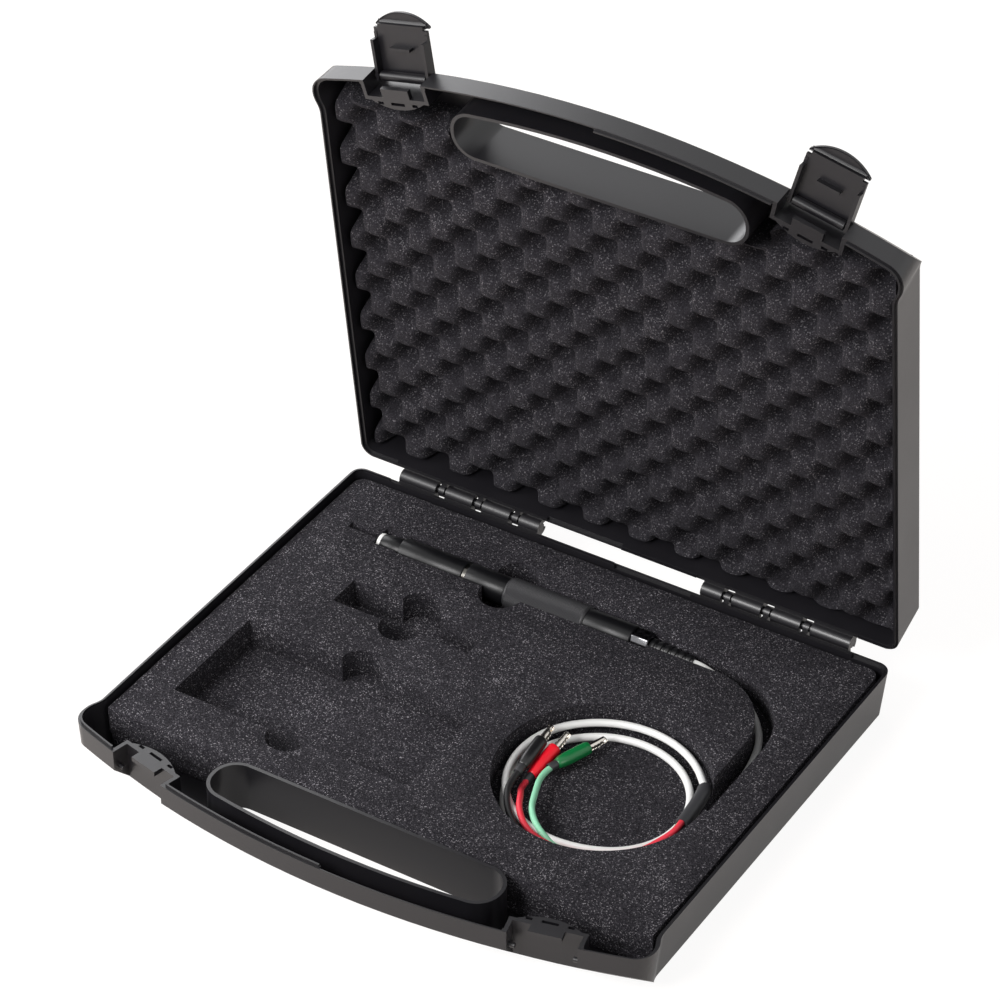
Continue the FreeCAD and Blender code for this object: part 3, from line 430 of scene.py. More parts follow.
def turnPiece(name, profile, start, steps):
    # a profile of (along, radius) in mm, spun about the X axis through start
    deselect()
    bpy.ops.mesh.primitive_plane_add(size=mm)
    piece = named(name)
    editing(piece)
    bpy.ops.mesh.merge(type="CENTER")
    spots = [Vector(start) + Vector((along * mm, 0, radius * mm)) for along, radius in profile]
    bpy.ops.transform.translate(value=spots[0])
    for here, there in zip(spots, spots[1:]):
        bpy.ops.mesh.extrude_vertices_move(TRANSFORM_OT_translate={"value": there - here})
    bpy.ops.mesh.select_all(action="SELECT")
    bpy.ops.mesh.spin(steps=steps, angle=2 * math.pi, center=start, axis=(1, 0, 0))
    bpy.ops.object.mode_set(mode="OBJECT")
    tidyMesh(piece)
    return piece


def moved(piece, matrix):
    piece.matrix_world = matrix
    pick(piece)
    bpy.ops.object.transform_apply(location=True, rotation=True, scale=True)


def dress(piece, body, slot, *replaced):
    pick(piece)
    bpy.ops.object.transform_apply(location=True, rotation=True, scale=True)
    piece.data.materials.clear()
    piece.data.materials.append(finishes[slot])
    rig.ride(piece, body)
    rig.slot(piece, slot)
    if replaced:
        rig.replaces(piece, *replaced)
    return piece


# camera and studio

camera = {"place": (0.8015, -1.2658, 1.2755), "tilt": 53.111, "turn": 31.872, "lens": 147.13, "sensor": 36}
studio = {
    "room": 0.34,
    "floor": {"size": 8.0, "shade": (0.92, 0.83, 0.77, 1), "rough": 0.9, "glow": 1.13, "direct": 0.8,
              "mirrored": 0.35},
    "lamps": {
        "key": {"place": (-0.5, -1.45, 1.3), "size": 0.7, "power": 31, "aim": (0, 0, 0.05),
                "tint": (1, 0.99, 0.985)},
        "back": {"place": (-1.65, 1.25, 0.95), "size": 1.4, "power": 18.5, "aim": (-0.05, 0, 0.1),
                 "tint": (0.98, 0.98, 1)},
        "left": {"place": (-1.0, -0.5, 0.55), "size": 0.6, "power": 9, "aim": (0, 0.05, 0.1),
                 "tint": (1, 0.99, 0.985)},
        "side": {"place": (1.9, -0.6, 0.9), "size": 1.0, "power": 6, "aim": (0, 0, 0.1),
                 "tint": (1, 0.96, 0.92)},
    },
}


def setCamera():
    data = bpy.data.cameras.new("camera")
    data.lens = camera["lens"]
    data.sensor_width = camera["sensor"]
    item = bpy.data.objects.new("camera", data)
    bpy.context.scene.collection.objects.link(item)
    item.location = camera["place"]
    item.rotation_euler = (math.radians(camera["tilt"]), 0, math.radians(camera["turn"]))
    bpy.context.scene.camera = item


def setLamp(name, sizes):
    data = bpy.data.lights.new(name, "AREA")
    data.shape = "SQUARE"
    data.size = sizes["size"]
    data.energy = sizes["power"]
    data.color = sizes["tint"]
    item = bpy.data.objects.new(name, data)
    bpy.context.scene.collection.objects.link(item)
    item.location = sizes["place"]
    way = Vector(sizes["aim"]) - Vector(sizes["place"])
    item.rotation_euler = way.to_track_quat("-Z", "Y").to_euler()


def setFloor():
    sizes = studio["floor"]
    deselect()
    bpy.ops.mesh.primitive_plane_add(size=sizes["size"])
    floor = named("floor")
    look = Look("pale_floor")
    look.shade({"Base Color": sizes["shade"], "Roughness": sizes["rough"]})
    glow = look.node("ShaderNodeEmission", (), {"Color": (1, 1, 1, 1), "Strength": sizes["glow"]})
    share = look.seen(sizes["direct"], sizes["mirrored"])
    mixed = look.node("ShaderNodeMixShader", (), {0: share, 1: Signal(look, look.shader.outputs[0]), 2: glow})
    look.tree.links.new(mixed.socket, look.tree.nodes["Material Output"].inputs["Surface"])
    floor.data.materials.append(look.material)
    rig.stage(floor)


def setStudio():
    world = bpy.data.worlds.new("studio")
    bpy.context.scene.world = world
    room = Look("studio", world)
    level = studio["room"] + (1 - studio["room"]) * room.seen(1, 1)
    room.feed(room.tree.nodes["Background"], {"Color": (1, 1, 1, 1), "Strength": level})
    setFloor()
    for name, sizes in studio["lamps"].items():
        setLamp(name, sizes)
    bpy.context.scene.view_settings.view_transform = "Standard"


setCamera()
setStudio()
print("camera and studio set")


# cords

cableRadius = 1.9
leadRadius = 1.55
coilSizes = {"x": 75.3, "y": -7.6, "outer": 50.0, "inner": 39.5, "low": 11.2, "high": 15.6, "turns": 1.894,
             "perTurn": 24, "narrowest": 1.2, "wideAgain": 1.58, "tuck": 1.7, "climbFrom": 1.0, "climbOver": 0.4,
             "wayStep": 0.004}
probeAxis = {"y": 92.4, "z": 20.0}
reliefEnd = (68.0, 92.4, 20.0)
grooveSizes = {"x": 80.0, "y": 47.4, "radius": 43.6}
cableSpots = {
    "relief": [reliefEnd, (73.0, 92.4, 19.8), (80.0, 91.2, 18.4)],
    "groove": [(78, 17.2), (60, 14.2), (42, 11.9), (24, 12), (8, 11.4)],
    "drop": [(125.4, 37.4, 10.8), (126.2, 22.4, 10.4)],
    "coilLead": (0.4, 16, -0.6),
}
spliceSizes = {"bend": 4, "end": (-3, 44.6, 16.0), "radius": 3.5}
leadSpots = {
    "red": [(-18, 45.4, 16.9), (-36, 45.2, 14.3), (-54, 45.2, 13.6), (-72, 45.2, 13.6), (-90, 45.8, 14.9),
            (-107, 46.8, 17.2), (-124, 43.0, 19.4), (-141, 38.2, 17.8)],
    "green": [(-18, 43.4, 14.0), (-36, 43.6, 11.6), (-54, 43.4, 11.0), (-72, 43.4, 11.0), (-88, 43.8, 12.6),
              (-104, 42.2, 17.8), (-120, 37.8, 18.6), (-138, 32.2, 17.2)],
    "black": [(-18, 47.3, 15.1), (-36, 48.3, 14.9), (-54, 48.5, 14.8), (-72, 48.6, 14.7), (-90, 48.6, 14.7),
              (-107, 48.9, 14.8), (-124, 48.2, 17.7), (-141, 45.2, 19.9)],
}
leadStarts = {"red": (0.0, 1.9), "green": (-1.65, -0.95), "black": (1.65, -0.95)}
leadEnds = {"out": 6, "back": 9.0, "in": 1.9}
clipSpots = {
    "red": {"tail": (-34.9, -6.0, 13.4), "aim": (-33.4, 15.0, 17.2)},
    "green": {"tail": (-27.3, 4.4, 16.2), "aim": (-20.9, 23.0, 15.8)},
    "black": {"tail": (-38.7, -8.3, 19.0), "aim": (-40.0, 13.0, 20.5)},
}


def polar(angle, radius, level):
    turn = math.radians(angle)
    return Vector((coilSizes["x"] + radius * math.cos(turn), coilSizes["y"] + radius * math.sin(turn), level))


def coilSpot(turns):
    outer, inner = coilSizes["outer"], coilSizes["inner"]
    narrowest, wideAgain = coilSizes["narrowest"], coilSizes["wideAgain"]
    if turns < narrowest:
        radius = outer - (outer - inner) * turns / narrowest
    elif turns < wideAgain:
        radius = inner + (outer - inner) * (turns - narrowest) / (wideAgain - narrowest)
    else:
        radius = outer - coilSizes["tuck"] * (turns - wideAgain) / (coilSizes["turns"] - wideAgain)
    climb = min(max((turns - coilSizes["climbFrom"]) / coilSizes["climbOver"], 0), 1)
    level = coilSizes["low"] + (coilSizes["high"] - coilSizes["low"]) * climb * climb * (3 - 2 * climb)
    return polar(-360 * turns, radius, level)


def coilWay(turns):
    step = coilSizes["wayStep"]
    return (coilSpot(turns + step) - coilSpot(turns - step)).normalized()


def clipFrame(colour):
    spot = clipSpots[colour]
    tail = Vector(spot["tail"]) + Vector((coilSizes["x"], coilSizes["y"], 0))
    along = (Vector(spot["aim"]) - Vector(spot["tail"])).normalized()
    side = Vector((0, 0, 1)).cross(along).normalized()
    turn = Matrix((along, side, along.cross(side))).transposed()
    return Matrix.Translation(tail * mm) @ turn.to_4x4()


def cordCurve(name, spots, radius):
    data = bpy.data.curves.new(name, "CURVE")
    data.dimensions = "3D"
    data.bevel_depth = 1
    data.bevel_resolution = 6
    data.resolution_u = 8
    data.use_fill_caps = True
    line = data.splines.new("NURBS")
    line.points.add(len(spots) - 1)
    for point, spot in zip(line.points, spots):
        point.co = (*(Vector(spot) * mm), 1)
        point.radius = radius * mm
    line.order_u = 3
    line.use_endpoint_u = True
    piece = bpy.data.objects.new(name, data)
    bpy.context.scene.collection.objects.link(piece)
    return piece


def cordPoints(piece):
    bevel = piece.data.bevel_depth
    piece.data.bevel_depth = 0
    bpy.context.view_layer.update()
    line = bpy.data.meshes.new_from_object(piece)
    spots = [vertex.co.copy() for vertex in line.vertices]
    bpy.data.meshes.remove(line)
    piece.data.bevel_depth = bevel
    return spots


def lengthOf(spots):
    return sum((there - here).length for here, there in zip(spots, spots[1:]))


def grooveSpot(angle, level):
    turn = math.radians(angle)
    return Vector((grooveSizes["x"] + grooveSizes["radius"] * math.cos(turn),
                   grooveSizes["y"] + grooveSizes["radius"] * math.sin(turn), level))


coilStart = coilSpot(0) + Vector((0, 2 * cableRadius, 0))
coilEndWay = coilWay(coilSizes["turns"])
coilEnd = coilSpot(coilSizes["turns"]) + coilEndWay * 2 * cableRadius
coilCount = round(coilSizes["turns"] * coilSizes["perTurn"])
cableRoute = [Vector(spot) for spot in cableSpots["relief"]]
cableRoute += [grooveSpot(*spot) for spot in cableSpots["groove"]]
cableRoute += [Vector(spot) for spot in cableSpots["drop"]]
cableRoute += [coilStart + Vector(cableSpots["coilLead"]), coilStart]
cableRoute += [coilSpot(coilSizes["turns"] * index / coilCount) for index in range(coilCount + 1)]
cableRoute.append(coilEnd)
spliceCorner = coilEnd + coilEndWay * spliceSizes["bend"]
spliceEnd = polar(*spliceSizes["end"])
spliceWay = (spliceEnd - spliceCorner).normalized()
spliceAcross = Vector((0, 0, 1)).cross(spliceWay).normalized()
spliceAbove = spliceWay.cross(spliceAcross)


def leadRoute(colour):
    outward, upward = leadStarts[colour]
    start = spliceEnd + spliceAcross * outward + spliceAbove * upward
    clip = clipFrame(colour)
    route = [start, start + spliceWay * leadEnds["out"]]
    route += [polar(*spot) for spot in leadSpots[colour]]
    route += [clip @ Vector((along * mm, 0, 0)) / mm for along in (-leadEnds["back"], leadEnds["in"])]
    return route


cable = cordCurve("probe_cable_run", cableRoute, cableRadius)
dress(cable, "base", "white_cable", "probe_cable", "probe_cable_coil")
leads = {}
for colour in clipSpots:
    leads[colour] = cordCurve(f"{colour}_lead_run", leadRoute(colour), leadRadius)
    dress(leads[colour], "base", f"{colour}_cable", f"{colour}_lead")
cordLengths = {name: lengthOf(cordPoints(piece)) for name, piece in [("cable", cable), *leads.items()]}
print("cords laid:", {name: round(size, 4) for name, size in cordLengths.items()})


# case shells and latches

shellSizes = {"weld": 0.01, "flat": 0.6, "bend": 32, "caseEdge": 0.35, "latchEdge": 0.3}
latchTab = {"rim": 1.3, "depth": 0.7, "reach": 9}


def hollowTab(piece):
    # the tab's face towards the camera is the one with the raised rim
    toward = Vector(camera["place"])
    floor = max(vertex.co.z for vertex in piece.data.vertices) - latchTab["reach"] * mm
    near = [face for face in piece.data.polygons if face.center.z > floor and face.normal.dot(toward) > 0]
    tab = max(near, key=lambda face: face.area).index
    editing(piece)
    bpy.ops.mesh.select_mode(type="FACE")
    bpy.ops.mesh.select_all(action="DESELECT")
    bpy.ops.object.mode_set(mode="OBJECT")
    piece.data.polygons[tab].select = True
    bpy.ops.object.mode_set(mode="EDIT")
    bpy.ops.mesh.inset(thickness=latchTab["rim"] * mm, depth=-latchTab["depth"] * mm)
    bpy.ops.object.mode_set(mode="OBJECT")


def shellCopy(node, name, body, edge, tab=False):
    piece = bpy.data.objects.new(name, nodes[node].data.copy())
    bpy.context.scene.collection.objects.link(piece)
    editing(piece)
    bpy.ops.mesh.customdata_custom_splitnormals_clear()
    bpy.ops.mesh.remove_doubles(threshold=shellSizes["weld"] * mm)
    bpy.ops.mesh.dissolve_limited(angle_limit=math.radians(shellSizes["flat"]))
    bpy.ops.object.mode_set(mode="OBJECT")
    if tab:
        hollowTab(piece)
    soften(piece, shellSizes[edge] * mm, shellSizes["bend"])
    smooth(piece, shellSizes["bend"])
    modify(piece, "WEIGHTED_NORMAL", keep_sharp=True)
    dress(piece, body, "case", node)
    if tab:
        piece.data.materials[0] = finishes["latch"]


shellCopy("base_shell", "base_case", "base", "caseEdge")
shellCopy("lid_shell", "lid_case", "lid", "caseEdge")
shellCopy("latch_left", "left_latch_lever", "left_latch", "latchEdge", True)
shellCopy("latch_right", "right_latch_lever", "right_latch", "latchEdge", True)
print("case shells softened")


# foam

foamSizes = {"corner": 6, "trayEdge": 0.6, "padEdge": 0.8, "sharp": 50, "bend": 40, "spare": 1}
recesses = {
    "blocks": [((-131.5, -61.6), (2.0, 1.4)), ((-105.3, 36.2), (-26.5, 55.4)), ((120.8, -3.0), (130.0, 47.7))],
    "thumbs": [(-65.5, -61.6), (-65.5, 1.4), (-65.5, 36.2), (-65.5, 55.4)],
    "thumbRadius": 11.0,
    "grips": [(-37.5, 84.2), (-37.5, 100.6)],
    "gripRadius": 11.3,
    "coil": (75.3, -7.6, 52.5),
    "groove": (40.8, 50.0),
    "grooveReach": 55.0,
    "slot": [(-132.3, -113.7, 2.2), (-114.3, -99.7, 6.7), (-100.3, -37.2, 7.7), (-37.8, 8.3, 8.5), (7.7, 34.8, 7.7),
             (34.2, 44.3, 7.5), (43.7, 68.3, 4.9), (67.7, 82.1, 4.9)],
}


def flatCutter(corner, far, level):
    return startBlock("cutter", Vector((*corner, level[0])) * mm, Vector((*far, level[1])) * mm)


def roundCutter(x, y, radius, level, sides=64):
    return startRod("cutter", radius * mm, Vector((x, y, level[0])) * mm, Vector((x, y, level[1])) * mm, sides)


def startFoam(name, node):
    low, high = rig.box(node)
    piece = startBlock(name, low, high)
    editing(piece)
    bpy.ops.mesh.select_all(action="DESELECT")
    bpy.ops.mesh.select_mode(type="EDGE")
    bpy.ops.object.mode_set(mode="OBJECT")
    spots = piece.data.vertices
    for edge in piece.data.edges:
        ends = [spots[index].co for index in edge.vertices]
        upright = abs(ends[0].z - ends[1].z) > 0.5 * (high.z - low.z)
        edge.select = upright and all(end.y > high.y - mm for end in ends)
    bpy.ops.object.mode_set(mode="EDIT")
    bpy.ops.mesh.bevel(offset=foamSizes["corner"] * mm, segments=8, affect="EDGES")
    bpy.ops.object.mode_set(mode="OBJECT")
    return piece


def makeGroove(level):
    # a quarter of a ring, cut out of the tray for the cable's bend
    x, y = grooveSizes["x"], grooveSizes["y"]
    inner, outer = recesses["groove"]
    reach = recesses["grooveReach"]
    tall = (level[0] - foamSizes["spare"], level[1] + foamSizes["spare"])
    ring = roundCutter(x, y, outer, level, 128)
    cutAway(ring, roundCutter(x, y, inner, tall, 128))
    for far in ((x, y + reach), (x + reach, y)):
        cutAway(ring, flatCutter((x - reach, y - reach), far, tall))
    return ring


def makeTray():
    low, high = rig.box("base_foam_tray")
    tray = startFoam("foam_tray", "base_foam_tray")
    level = (low.z / mm - foamSizes["spare"], high.z / mm + foamSizes["spare"])
    for corner, far in recesses["blocks"]:
        cutAway(tray, flatCutter(corner, far, level))
    for spots, radius in (("thumbs", "thumbRadius"), ("grips", "gripRadius")):
        for x, y in recesses[spots]:
            cutAway(tray, roundCutter(x, y, recesses[radius], level))
    cutAway(tray, roundCutter(*recesses["coil"], level, 128))
    for start, end, half in recesses["slot"]:
        cutAway(tray, flatCutter((start, probeAxis["y"] - half), (end, probeAxis["y"] + half), level))
    cutAway(tray, makeGroove(level))
    tidyMesh(tray)
    soften(tray, foamSizes["trayEdge"] * mm, foamSizes["sharp"])
    smooth(tray, foamSizes["bend"])
    dress(tray, "base", "foam", "base_foam_tray")
    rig.padded(tray, fill=0.95)


def makePad():
    pad = startFoam("foam_pad", "base_foam_pad")
    soften(pad, foamSizes["padEdge"] * mm, foamSizes["sharp"])
    smooth(pad, foamSizes["bend"])
    dress(pad, "base", "foam", "base_foam_pad")
    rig.padded(pad, fill=0.95)


lidOpening = {"hinge": (0, 138.8, 26.67), "angle": -82.58}
eggSizes = {"waves": [(4.62, 0.2305, 0.2425), (3.67, 0.2448, -0.2317)], "peak": 32.07, "valley": 46.0,
            "steep": 1.9, "bias": 0.36, "back": 51.34, "step": 1.0, "low": (-149.8, -96.4), "high": (149.8, 128.2),
            "front": -89.2, "handle": 84.0, "bend": 60}


def eggLevel(x, y):
    wave = sum(math.cos(start + x * across + y * along) for start, across, along in eggSizes["waves"]) / 2
    low, here, high = (math.tanh(eggSizes["steep"] * (level + eggSizes["bias"])) for level in (-1, wave, 1))
    full = (here - low) / (high - low)
    return eggSizes["valley"] + (eggSizes["peak"] - eggSizes["valley"]) * full


def makeLidFoam():
    # laid out with the lid shut, then turned open about the hinge
    low, high = Vector(eggSizes["low"]), Vector(eggSizes["high"])
    span = high - low
    middle = (low + high) / 2
    across, deep = (round(size / eggSizes["step"]) for size in span)
    deselect()
    bpy.ops.mesh.primitive_grid_add(x_subdivisions=across, y_subdivisions=deep, size=1)
    foam = named("lid_egg_foam")
    for vertex in foam.data.vertices:
        x = middle.x + vertex.co.x * span.x
        y = middle.y + vertex.co.y * span.y
        vertex.co = Vector((x, y, eggLevel(x, y))) * mm
    choose(foam, lambda spot: abs(spot.x) < eggSizes["handle"] * mm and spot.y < eggSizes["front"] * mm)
    bpy.ops.mesh.delete(type="VERT")
    editing(foam)
    bpy.ops.mesh.region_to_loop()
    bpy.ops.mesh.extrude_edges_move()
    bpy.ops.transform.resize(value=(1, 1, 0), center_override=(0, 0, eggSizes["back"] * mm))
    bpy.ops.mesh.edge_face_add()
    bpy.ops.object.mode_set(mode="OBJECT")
    tidyMesh(foam)
    hinge = Vector(lidOpening["hinge"]) * mm
    turn = Matrix.Rotation(math.radians(lidOpening["angle"]), 4, "X")
    moved(foam, Matrix.Translation(hinge) @ turn @ Matrix.Translation(-hinge))
    smooth(foam, eggSizes["bend"])
    dress(foam, "lid", "foam", "lid_foam")
    # the lid's darker foam finish is painted shade
    foam.data.materials[0] = finishes["lid_foam"]
    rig.padded(foam, fill=0.9)


makePad()
makeTray()
makeLidFoam()
print("foam cut")


# probe

def probeSpot(x):
    return Vector((x, probeAxis["y"], probeAxis["z"])) * mm


def turnProbe(name, sizes, slot, node, body="base"):
    piece = turnPiece(name, sizes["profile"], probeSpot(sizes["x"]), sizes["steps"])
    smooth(piece, sizes["bend"])
    dress(piece, body, slot, node)


tipRing = {"x": -114.0, "steps": 72, "bend": 35,
           "profile": [(0, 0.85), (0, 4.9), (0.15, 5.18), (0.45, 5.3), (2, 5.3), (2, 4.2), (18, 4.2), (18, 2.2),
                       (8, 2.2), (8, 0.85), (0, 0.85)]}
noseCone = {"x": -112.0, "steps": 96, "bend": 35,
            "profile": [(0, 4.25), (0, 5.15), (0.2, 5.3), (11.6, 6.36), (12, 6.2), (12, 5.5), (18, 5.5),
                        (18, 4.25), (0, 4.25)]}
tubeSizes = {"radius": 7.4, "bore": 5.55, "edge": 0.5, "ease": 0.15, "steps": 96, "bend": 30,
             "front": (-100.0, 37.5), "middle": (-60.5, 23.0), "rear": (8.0, 26.5)}
jointBand = {"x": -62.5, "steps": 72, "bend": 35,
             "profile": [(-6, 4), (-6, 5.5), (0, 5.5), (0, 6.7), (2, 6.7), (2, 5.5), (8, 5.5), (8, 4), (-6, 4)]}
goldPin = {"x": -118.0, "steps": 32, "bend": 35,
           "profile": [(0, 0), (0.05, 0.22), (0.2, 0.35), (1, 0.8), (12.2, 0.8), (12.2, 1.9), (14.2, 1.9),
                       (14.2, 0.8), (19, 0.8), (19, 0)]}


def makeTube(part):
    x, length = tubeSizes[part]
    radius, bore, edge, ease = (tubeSizes[key] for key in ("radius", "bore", "edge", "ease"))
    profile = [(0, bore), (0, radius - edge), (ease, radius - ease), (edge, radius), (length - edge, radius),
               (length - ease, radius - ease), (length, radius - edge), (length, bore), (0, bore)]
    turnProbe(f"probe_{part}_tube", {**tubeSizes, "x": x, "profile": profile}, "black_metal", f"probe_{part}_barrel")


gripSizes = {"x": -37.5, "long": 45.5, "radius": 8.2, "pitch": 0.95, "depth": 0.22, "edge": 1.2, "ease": 0.72,
             "shoulder": 0.7, "slack": 0.01, "margin": 0.1}


def makeGrip():
    radius, length, edge, depth, ease = (gripSizes[key] for key in ("radius", "long", "edge", "depth", "ease"))
    bore = tubeSizes["bore"]
    around = round(2 * math.pi * radius / gripSizes["pitch"])
    rows = round((length - 2 * edge) / gripSizes["pitch"])
    profile = [(0, bore), (0, radius - gripSizes["shoulder"]), (ease, radius - depth)]
    profile += [(edge + (length - 2 * edge) * row / rows, radius - depth) for row in range(rows + 1)]
    profile += [(length - ease, radius - depth), (length, radius - gripSizes["shoulder"]), (length, bore), (0, bore)]
    grip = turnPiece("probe_knurled_grip", profile, probeSpot(gripSizes["x"]), around)
    axis = probeSpot(0)
    slack = gripSizes["slack"] * mm
    margin = gripSizes["margin"] * mm
    start = (gripSizes["x"] + edge) * mm - slack
    end = (gripSizes["x"] + length - edge) * mm + slack

    def onKnurl(spot):
        reach = math.hypot(spot.y - axis.y, spot.z - axis.z)
        return start < spot.x < end and reach > (radius - 2 * depth) * mm

    # squares become diamonds: each is poked flat, its old sides go, and the diamonds are raised to points
    choose(grip, onKnurl)
    bpy.ops.mesh.select_mode(type="FACE")
    bpy.ops.mesh.poke(offset=0)
    bpy.ops.mesh.select_mode(type="EDGE")
    bpy.ops.mesh.select_all(action="DESELECT")
    bpy.ops.object.mode_set(mode="OBJECT")
    spots = grip.data.vertices
    for line in grip.data.edges:
        ends = [spots[index].co for index in line.vertices]
        inner = all(start + margin < spot.x < end - margin for spot in ends)
        aroundAxis = abs(ends[0].x - ends[1].x) < slack
        alongAxis = math.hypot(ends[0].y - ends[1].y, ends[0].z - ends[1].z) < slack
        line.select = all(onKnurl(spot) for spot in ends) and ((aroundAxis and inner) or alongAxis)
    bpy.ops.object.mode_set(mode="EDIT")
    bpy.ops.mesh.dissolve_edges(use_verts=False)
    bpy.ops.object.mode_set(mode="OBJECT")
    choose(grip, onKnurl)
    bpy.ops.mesh.select_mode(type="FACE")
    bpy.ops.mesh.poke(offset=depth * mm)
    bpy.ops.object.mode_set(mode="OBJECT")
    dress(grip, "base", "black_metal", "probe_grip")
    grip.data.materials[0] = finishes["knurl"]


nutSizes = {"x": 34.5, "long": 9.5, "radius": 7.2, "bore": 3.2, "spare": 1, "edge": 0.45, "bend": 30}


def makeNut():
    start, end = nutSizes["x"], nutSizes["x"] + nutSizes["long"]
    spare = nutSizes["spare"]
    nut = startRod("probe_gland", nutSizes["radius"] * mm, probeSpot(start), probeSpot(end), 6, "x")
    cutAway(nut, startRod("cutter", nutSizes["bore"] * mm, probeSpot(start - spare), probeSpot(end + spare), 48, "x"))
    soften(nut, nutSizes["edge"] * mm, nutSizes["bend"], 3)
    smooth(nut, nutSizes["bend"])
    dress(nut, "base", "black_metal", "probe_gland_nut")
    nut.data.materials[0] = finishes["nut"]


reliefSizes = {"x": 44.0, "long": 24.0, "wide": 4.6, "thin": 3.1, "pitch": 4.0, "bore": 2.0, "root": -6, "lip": 0.4,
               "rib": [(0.3, 0.25), (0.6, 0), (2.3, 0), (2.6, 0.3), (2.8, 0.9), (3.8, 0.95)], "steps": 48, "bend": 40}


def makeRelief():
    length, thin, bore, root = (reliefSizes[key] for key in ("long", "thin", "bore", "root"))
    count = round(length / reliefSizes["pitch"])
    fall = (reliefSizes["wide"] - thin) / (count + 1)
    profile = [(root, bore), (root, thin), (0, thin)]
    for rib in range(count):
        top = reliefSizes["wide"] - fall * rib
        profile += [(rib * reliefSizes["pitch"] + along, top - drop) for along, drop in reliefSizes["rib"]]
    profile += [(length, thin - reliefSizes["lip"]), (length, bore), (root, bore)]
    turnProbe("probe_cable_relief", {**reliefSizes, "profile": profile}, "black_plastic", "probe_strain_relief")


turnProbe("probe_tip_ring", tipRing, "white_plastic", "probe_insulator")
turnProbe("probe_nose_cone", noseCone, "black_metal", "probe_nose")
for part in ("front", "middle", "rear"):
    makeTube(part)
turnProbe("probe_joint_band", jointBand, "bright_metal", "probe_joint_ring")
makeGrip()
makeNut()
makeRelief()
turnProbe("probe_gold_pin", goldPin, "brass", "probe_contact_pin", "pin")
print("probe turned")


# clips and splice

bootSizes = {"steps": 48, "bend": 40,
             "profile": [(0, 1.65), (0, 2.2), (0.25, 2.45), (1.2, 2.75), (3.2, 3.15), (5.5, 3.35), (8, 3.4),
                         (17.5, 3.35), (19, 3.3), (19.38, 3.15), (19.5, 2.98), (19.5, 2.85), (2, 2.85), (2, 1.65),
                         (0, 1.65)]}
sleeveSizes = {"steps": 32, "bend": 40,
               "profile": [(-5, 1.6), (-5, 1.95), (-4.7, 2.08), (-3.5, 2.1), (-0.4, 2.1), (0, 1.98), (0, 1.6),
                           (-5, 1.6)]}


def turnClip(colour, name, sizes, slot, node):
    piece = turnPiece(f"{colour}_{name}", sizes["profile"], (0, 0, 0), sizes["steps"])
    moved(piece, clipFrame(colour))
    smooth(piece, sizes["bend"])
    return dress(piece, "base", slot, f"{colour}_{node}")


jawSizes = {
    "tip": 30.2, "cells": (27, 4), "sheet": 0.4, "edge": 0.06, "sharp": 40, "bend": 30,
    "flank": 0.8, "flange": 15, "fold": 0.75, "ear": (15.5, 18.5), "earFold": 0.5, "teeth": 20, "bite": 0.45,
    "hook": 0.6, "hookFold": 1.0, "narrow": 26, "taper": 0.8,
    "upper": {"half": 1.3, "level": 1.6, "lift": -1.0, "start": 4.0},
    "lower": {"half": 2.1, "level": -1.5, "lift": 1.0, "start": 3.0},
}


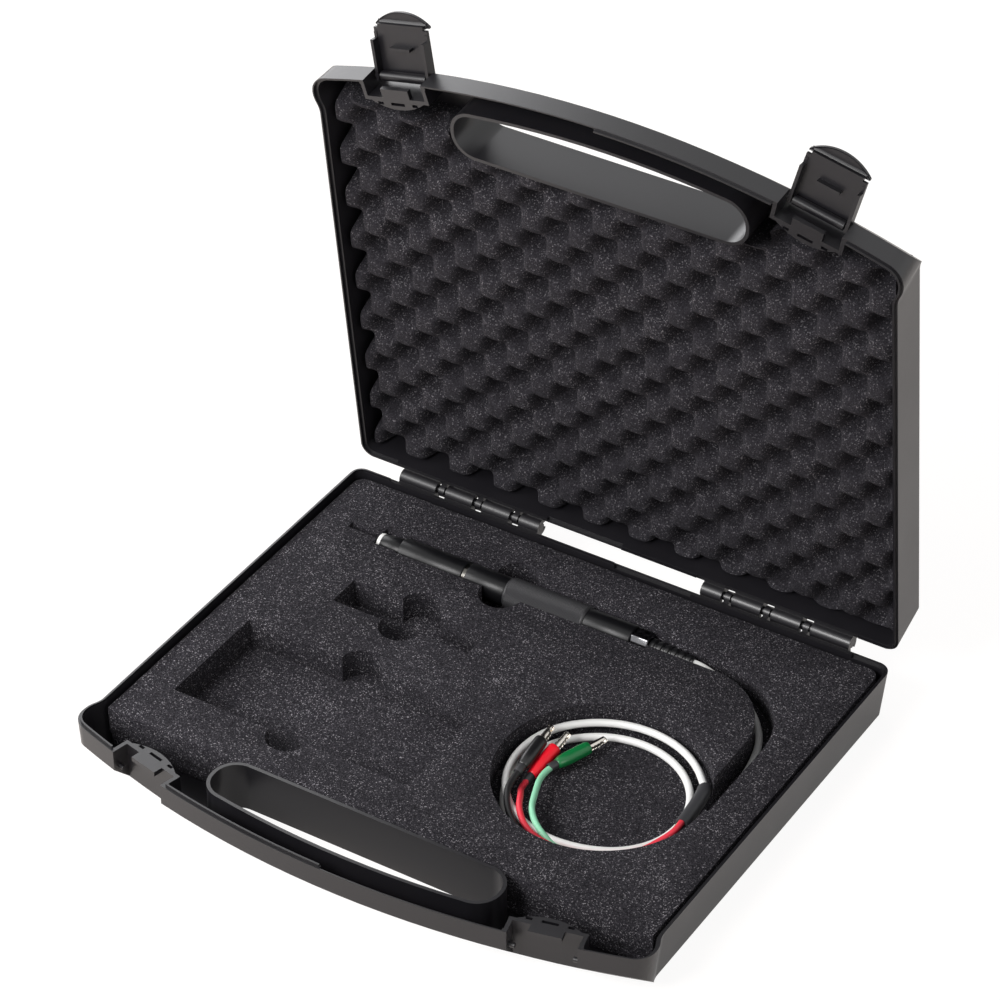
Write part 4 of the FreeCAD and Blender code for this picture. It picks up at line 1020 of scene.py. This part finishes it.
def makeJaw(colour, side):
    sizes = jawSizes
    half, level, lift, start = (sizes[side][key] for key in ("half", "level", "lift", "start"))
    length = sizes["tip"] - start
    tooth = length / sizes["cells"][0]
    deselect()
    bpy.ops.mesh.primitive_grid_add(x_subdivisions=sizes["cells"][0], y_subdivisions=sizes["cells"][1], size=1)
    jaw = named(f"{colour}_{side}_clip_jaw")
    moved(jaw, Matrix.Translation(Vector((start + length / 2, 0, level)) * mm)
          @ Matrix.Diagonal((length * mm, 2 * half * mm, 1, 1)))

    def onFlank(spot, low, high=math.inf):
        return abs(spot.y) > sizes["flank"] * half * mm and low * mm < spot.x < high * mm

    def onTooth(spot):
        return onFlank(spot, sizes["teeth"]) and round((spot.x / mm - start) / tooth) % 2 == 0

    shift(jaw, lambda spot: onFlank(spot, sizes["flange"]), (0, 0, sizes["fold"] * lift * mm))
    shift(jaw, lambda spot: onFlank(spot, *sizes["ear"]), (0, 0, sizes["earFold"] * lift * mm))
    shift(jaw, onTooth, (0, 0, sizes["bite"] * lift * mm))
    shift(jaw, lambda spot: spot.x > (sizes["tip"] - sizes["hook"]) * mm, (0, 0, sizes["hookFold"] * lift * mm))
    squeeze(jaw, lambda spot: spot.x > sizes["narrow"] * mm, (1, sizes["taper"], 1), (0, 0, 0))
    modify(jaw, "SOLIDIFY", thickness=sizes["sheet"] * mm, offset=0)
    soften(jaw, sizes["edge"] * mm, sizes["sharp"], 1)
    moved(jaw, clipFrame(colour))
    smooth(jaw, sizes["bend"])
    return dress(jaw, f"{colour}_jaw" if side == "upper" else "base", "steel", f"{colour}_{side}_jaw")


def makeSplice():
    pick(cordCurve("splice_line", [coilEnd, spliceCorner, spliceEnd], spliceSizes["radius"]))
    bpy.ops.object.convert(target="MESH")
    piece = named("lead_splice_boot")
    smooth(piece, 50)
    return dress(piece, "base", "black_rubber", "lead_splice")


splice = makeSplice()
clipPieces = {}
for colour in clipSpots:
    clipPieces[colour] = [turnClip(colour, "clip_boot", bootSizes, f"{colour}_plastic", "boot"),
                          turnClip(colour, "shrink_sleeve", sleeveSizes, "black_rubber", "lead_sleeve"),
                          makeJaw(colour, "lower"), makeJaw(colour, "upper"),
                          nodes[f"{colour}_rivet"], nodes[f"{colour}_clip_spring"]]
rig.cord(cable, exit=Vector(reliefEnd) * mm, length=cordLengths["cable"], diameter=2 * cableRadius * mm,
        far_end="fitting", stiffness="medium", lay="coiled", with_pieces=[splice])
for colour, lead in leads.items():
    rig.cord(lead, exit=leadRoute(colour)[0] * mm, length=cordLengths[colour], diameter=2 * leadRadius * mm,
            far_end="connector", stiffness="limp", lay="loose", with_pieces=clipPieces[colour])
print("clips fitted")


# the pieces that stay as they are get their finish

for subpart in frame["record"]["subparts"]:
    node = nodes[subpart["node"]]
    node.data.materials.clear()
    node.data.materials.append(finishes[subpart["material_slot"]])

visualCorners = [list(corner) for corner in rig.bounds()]
with open("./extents.json", "w") as sizeFile:
    json.dump({"cad": cadCorners, "visual": visualCorners}, sizeFile)
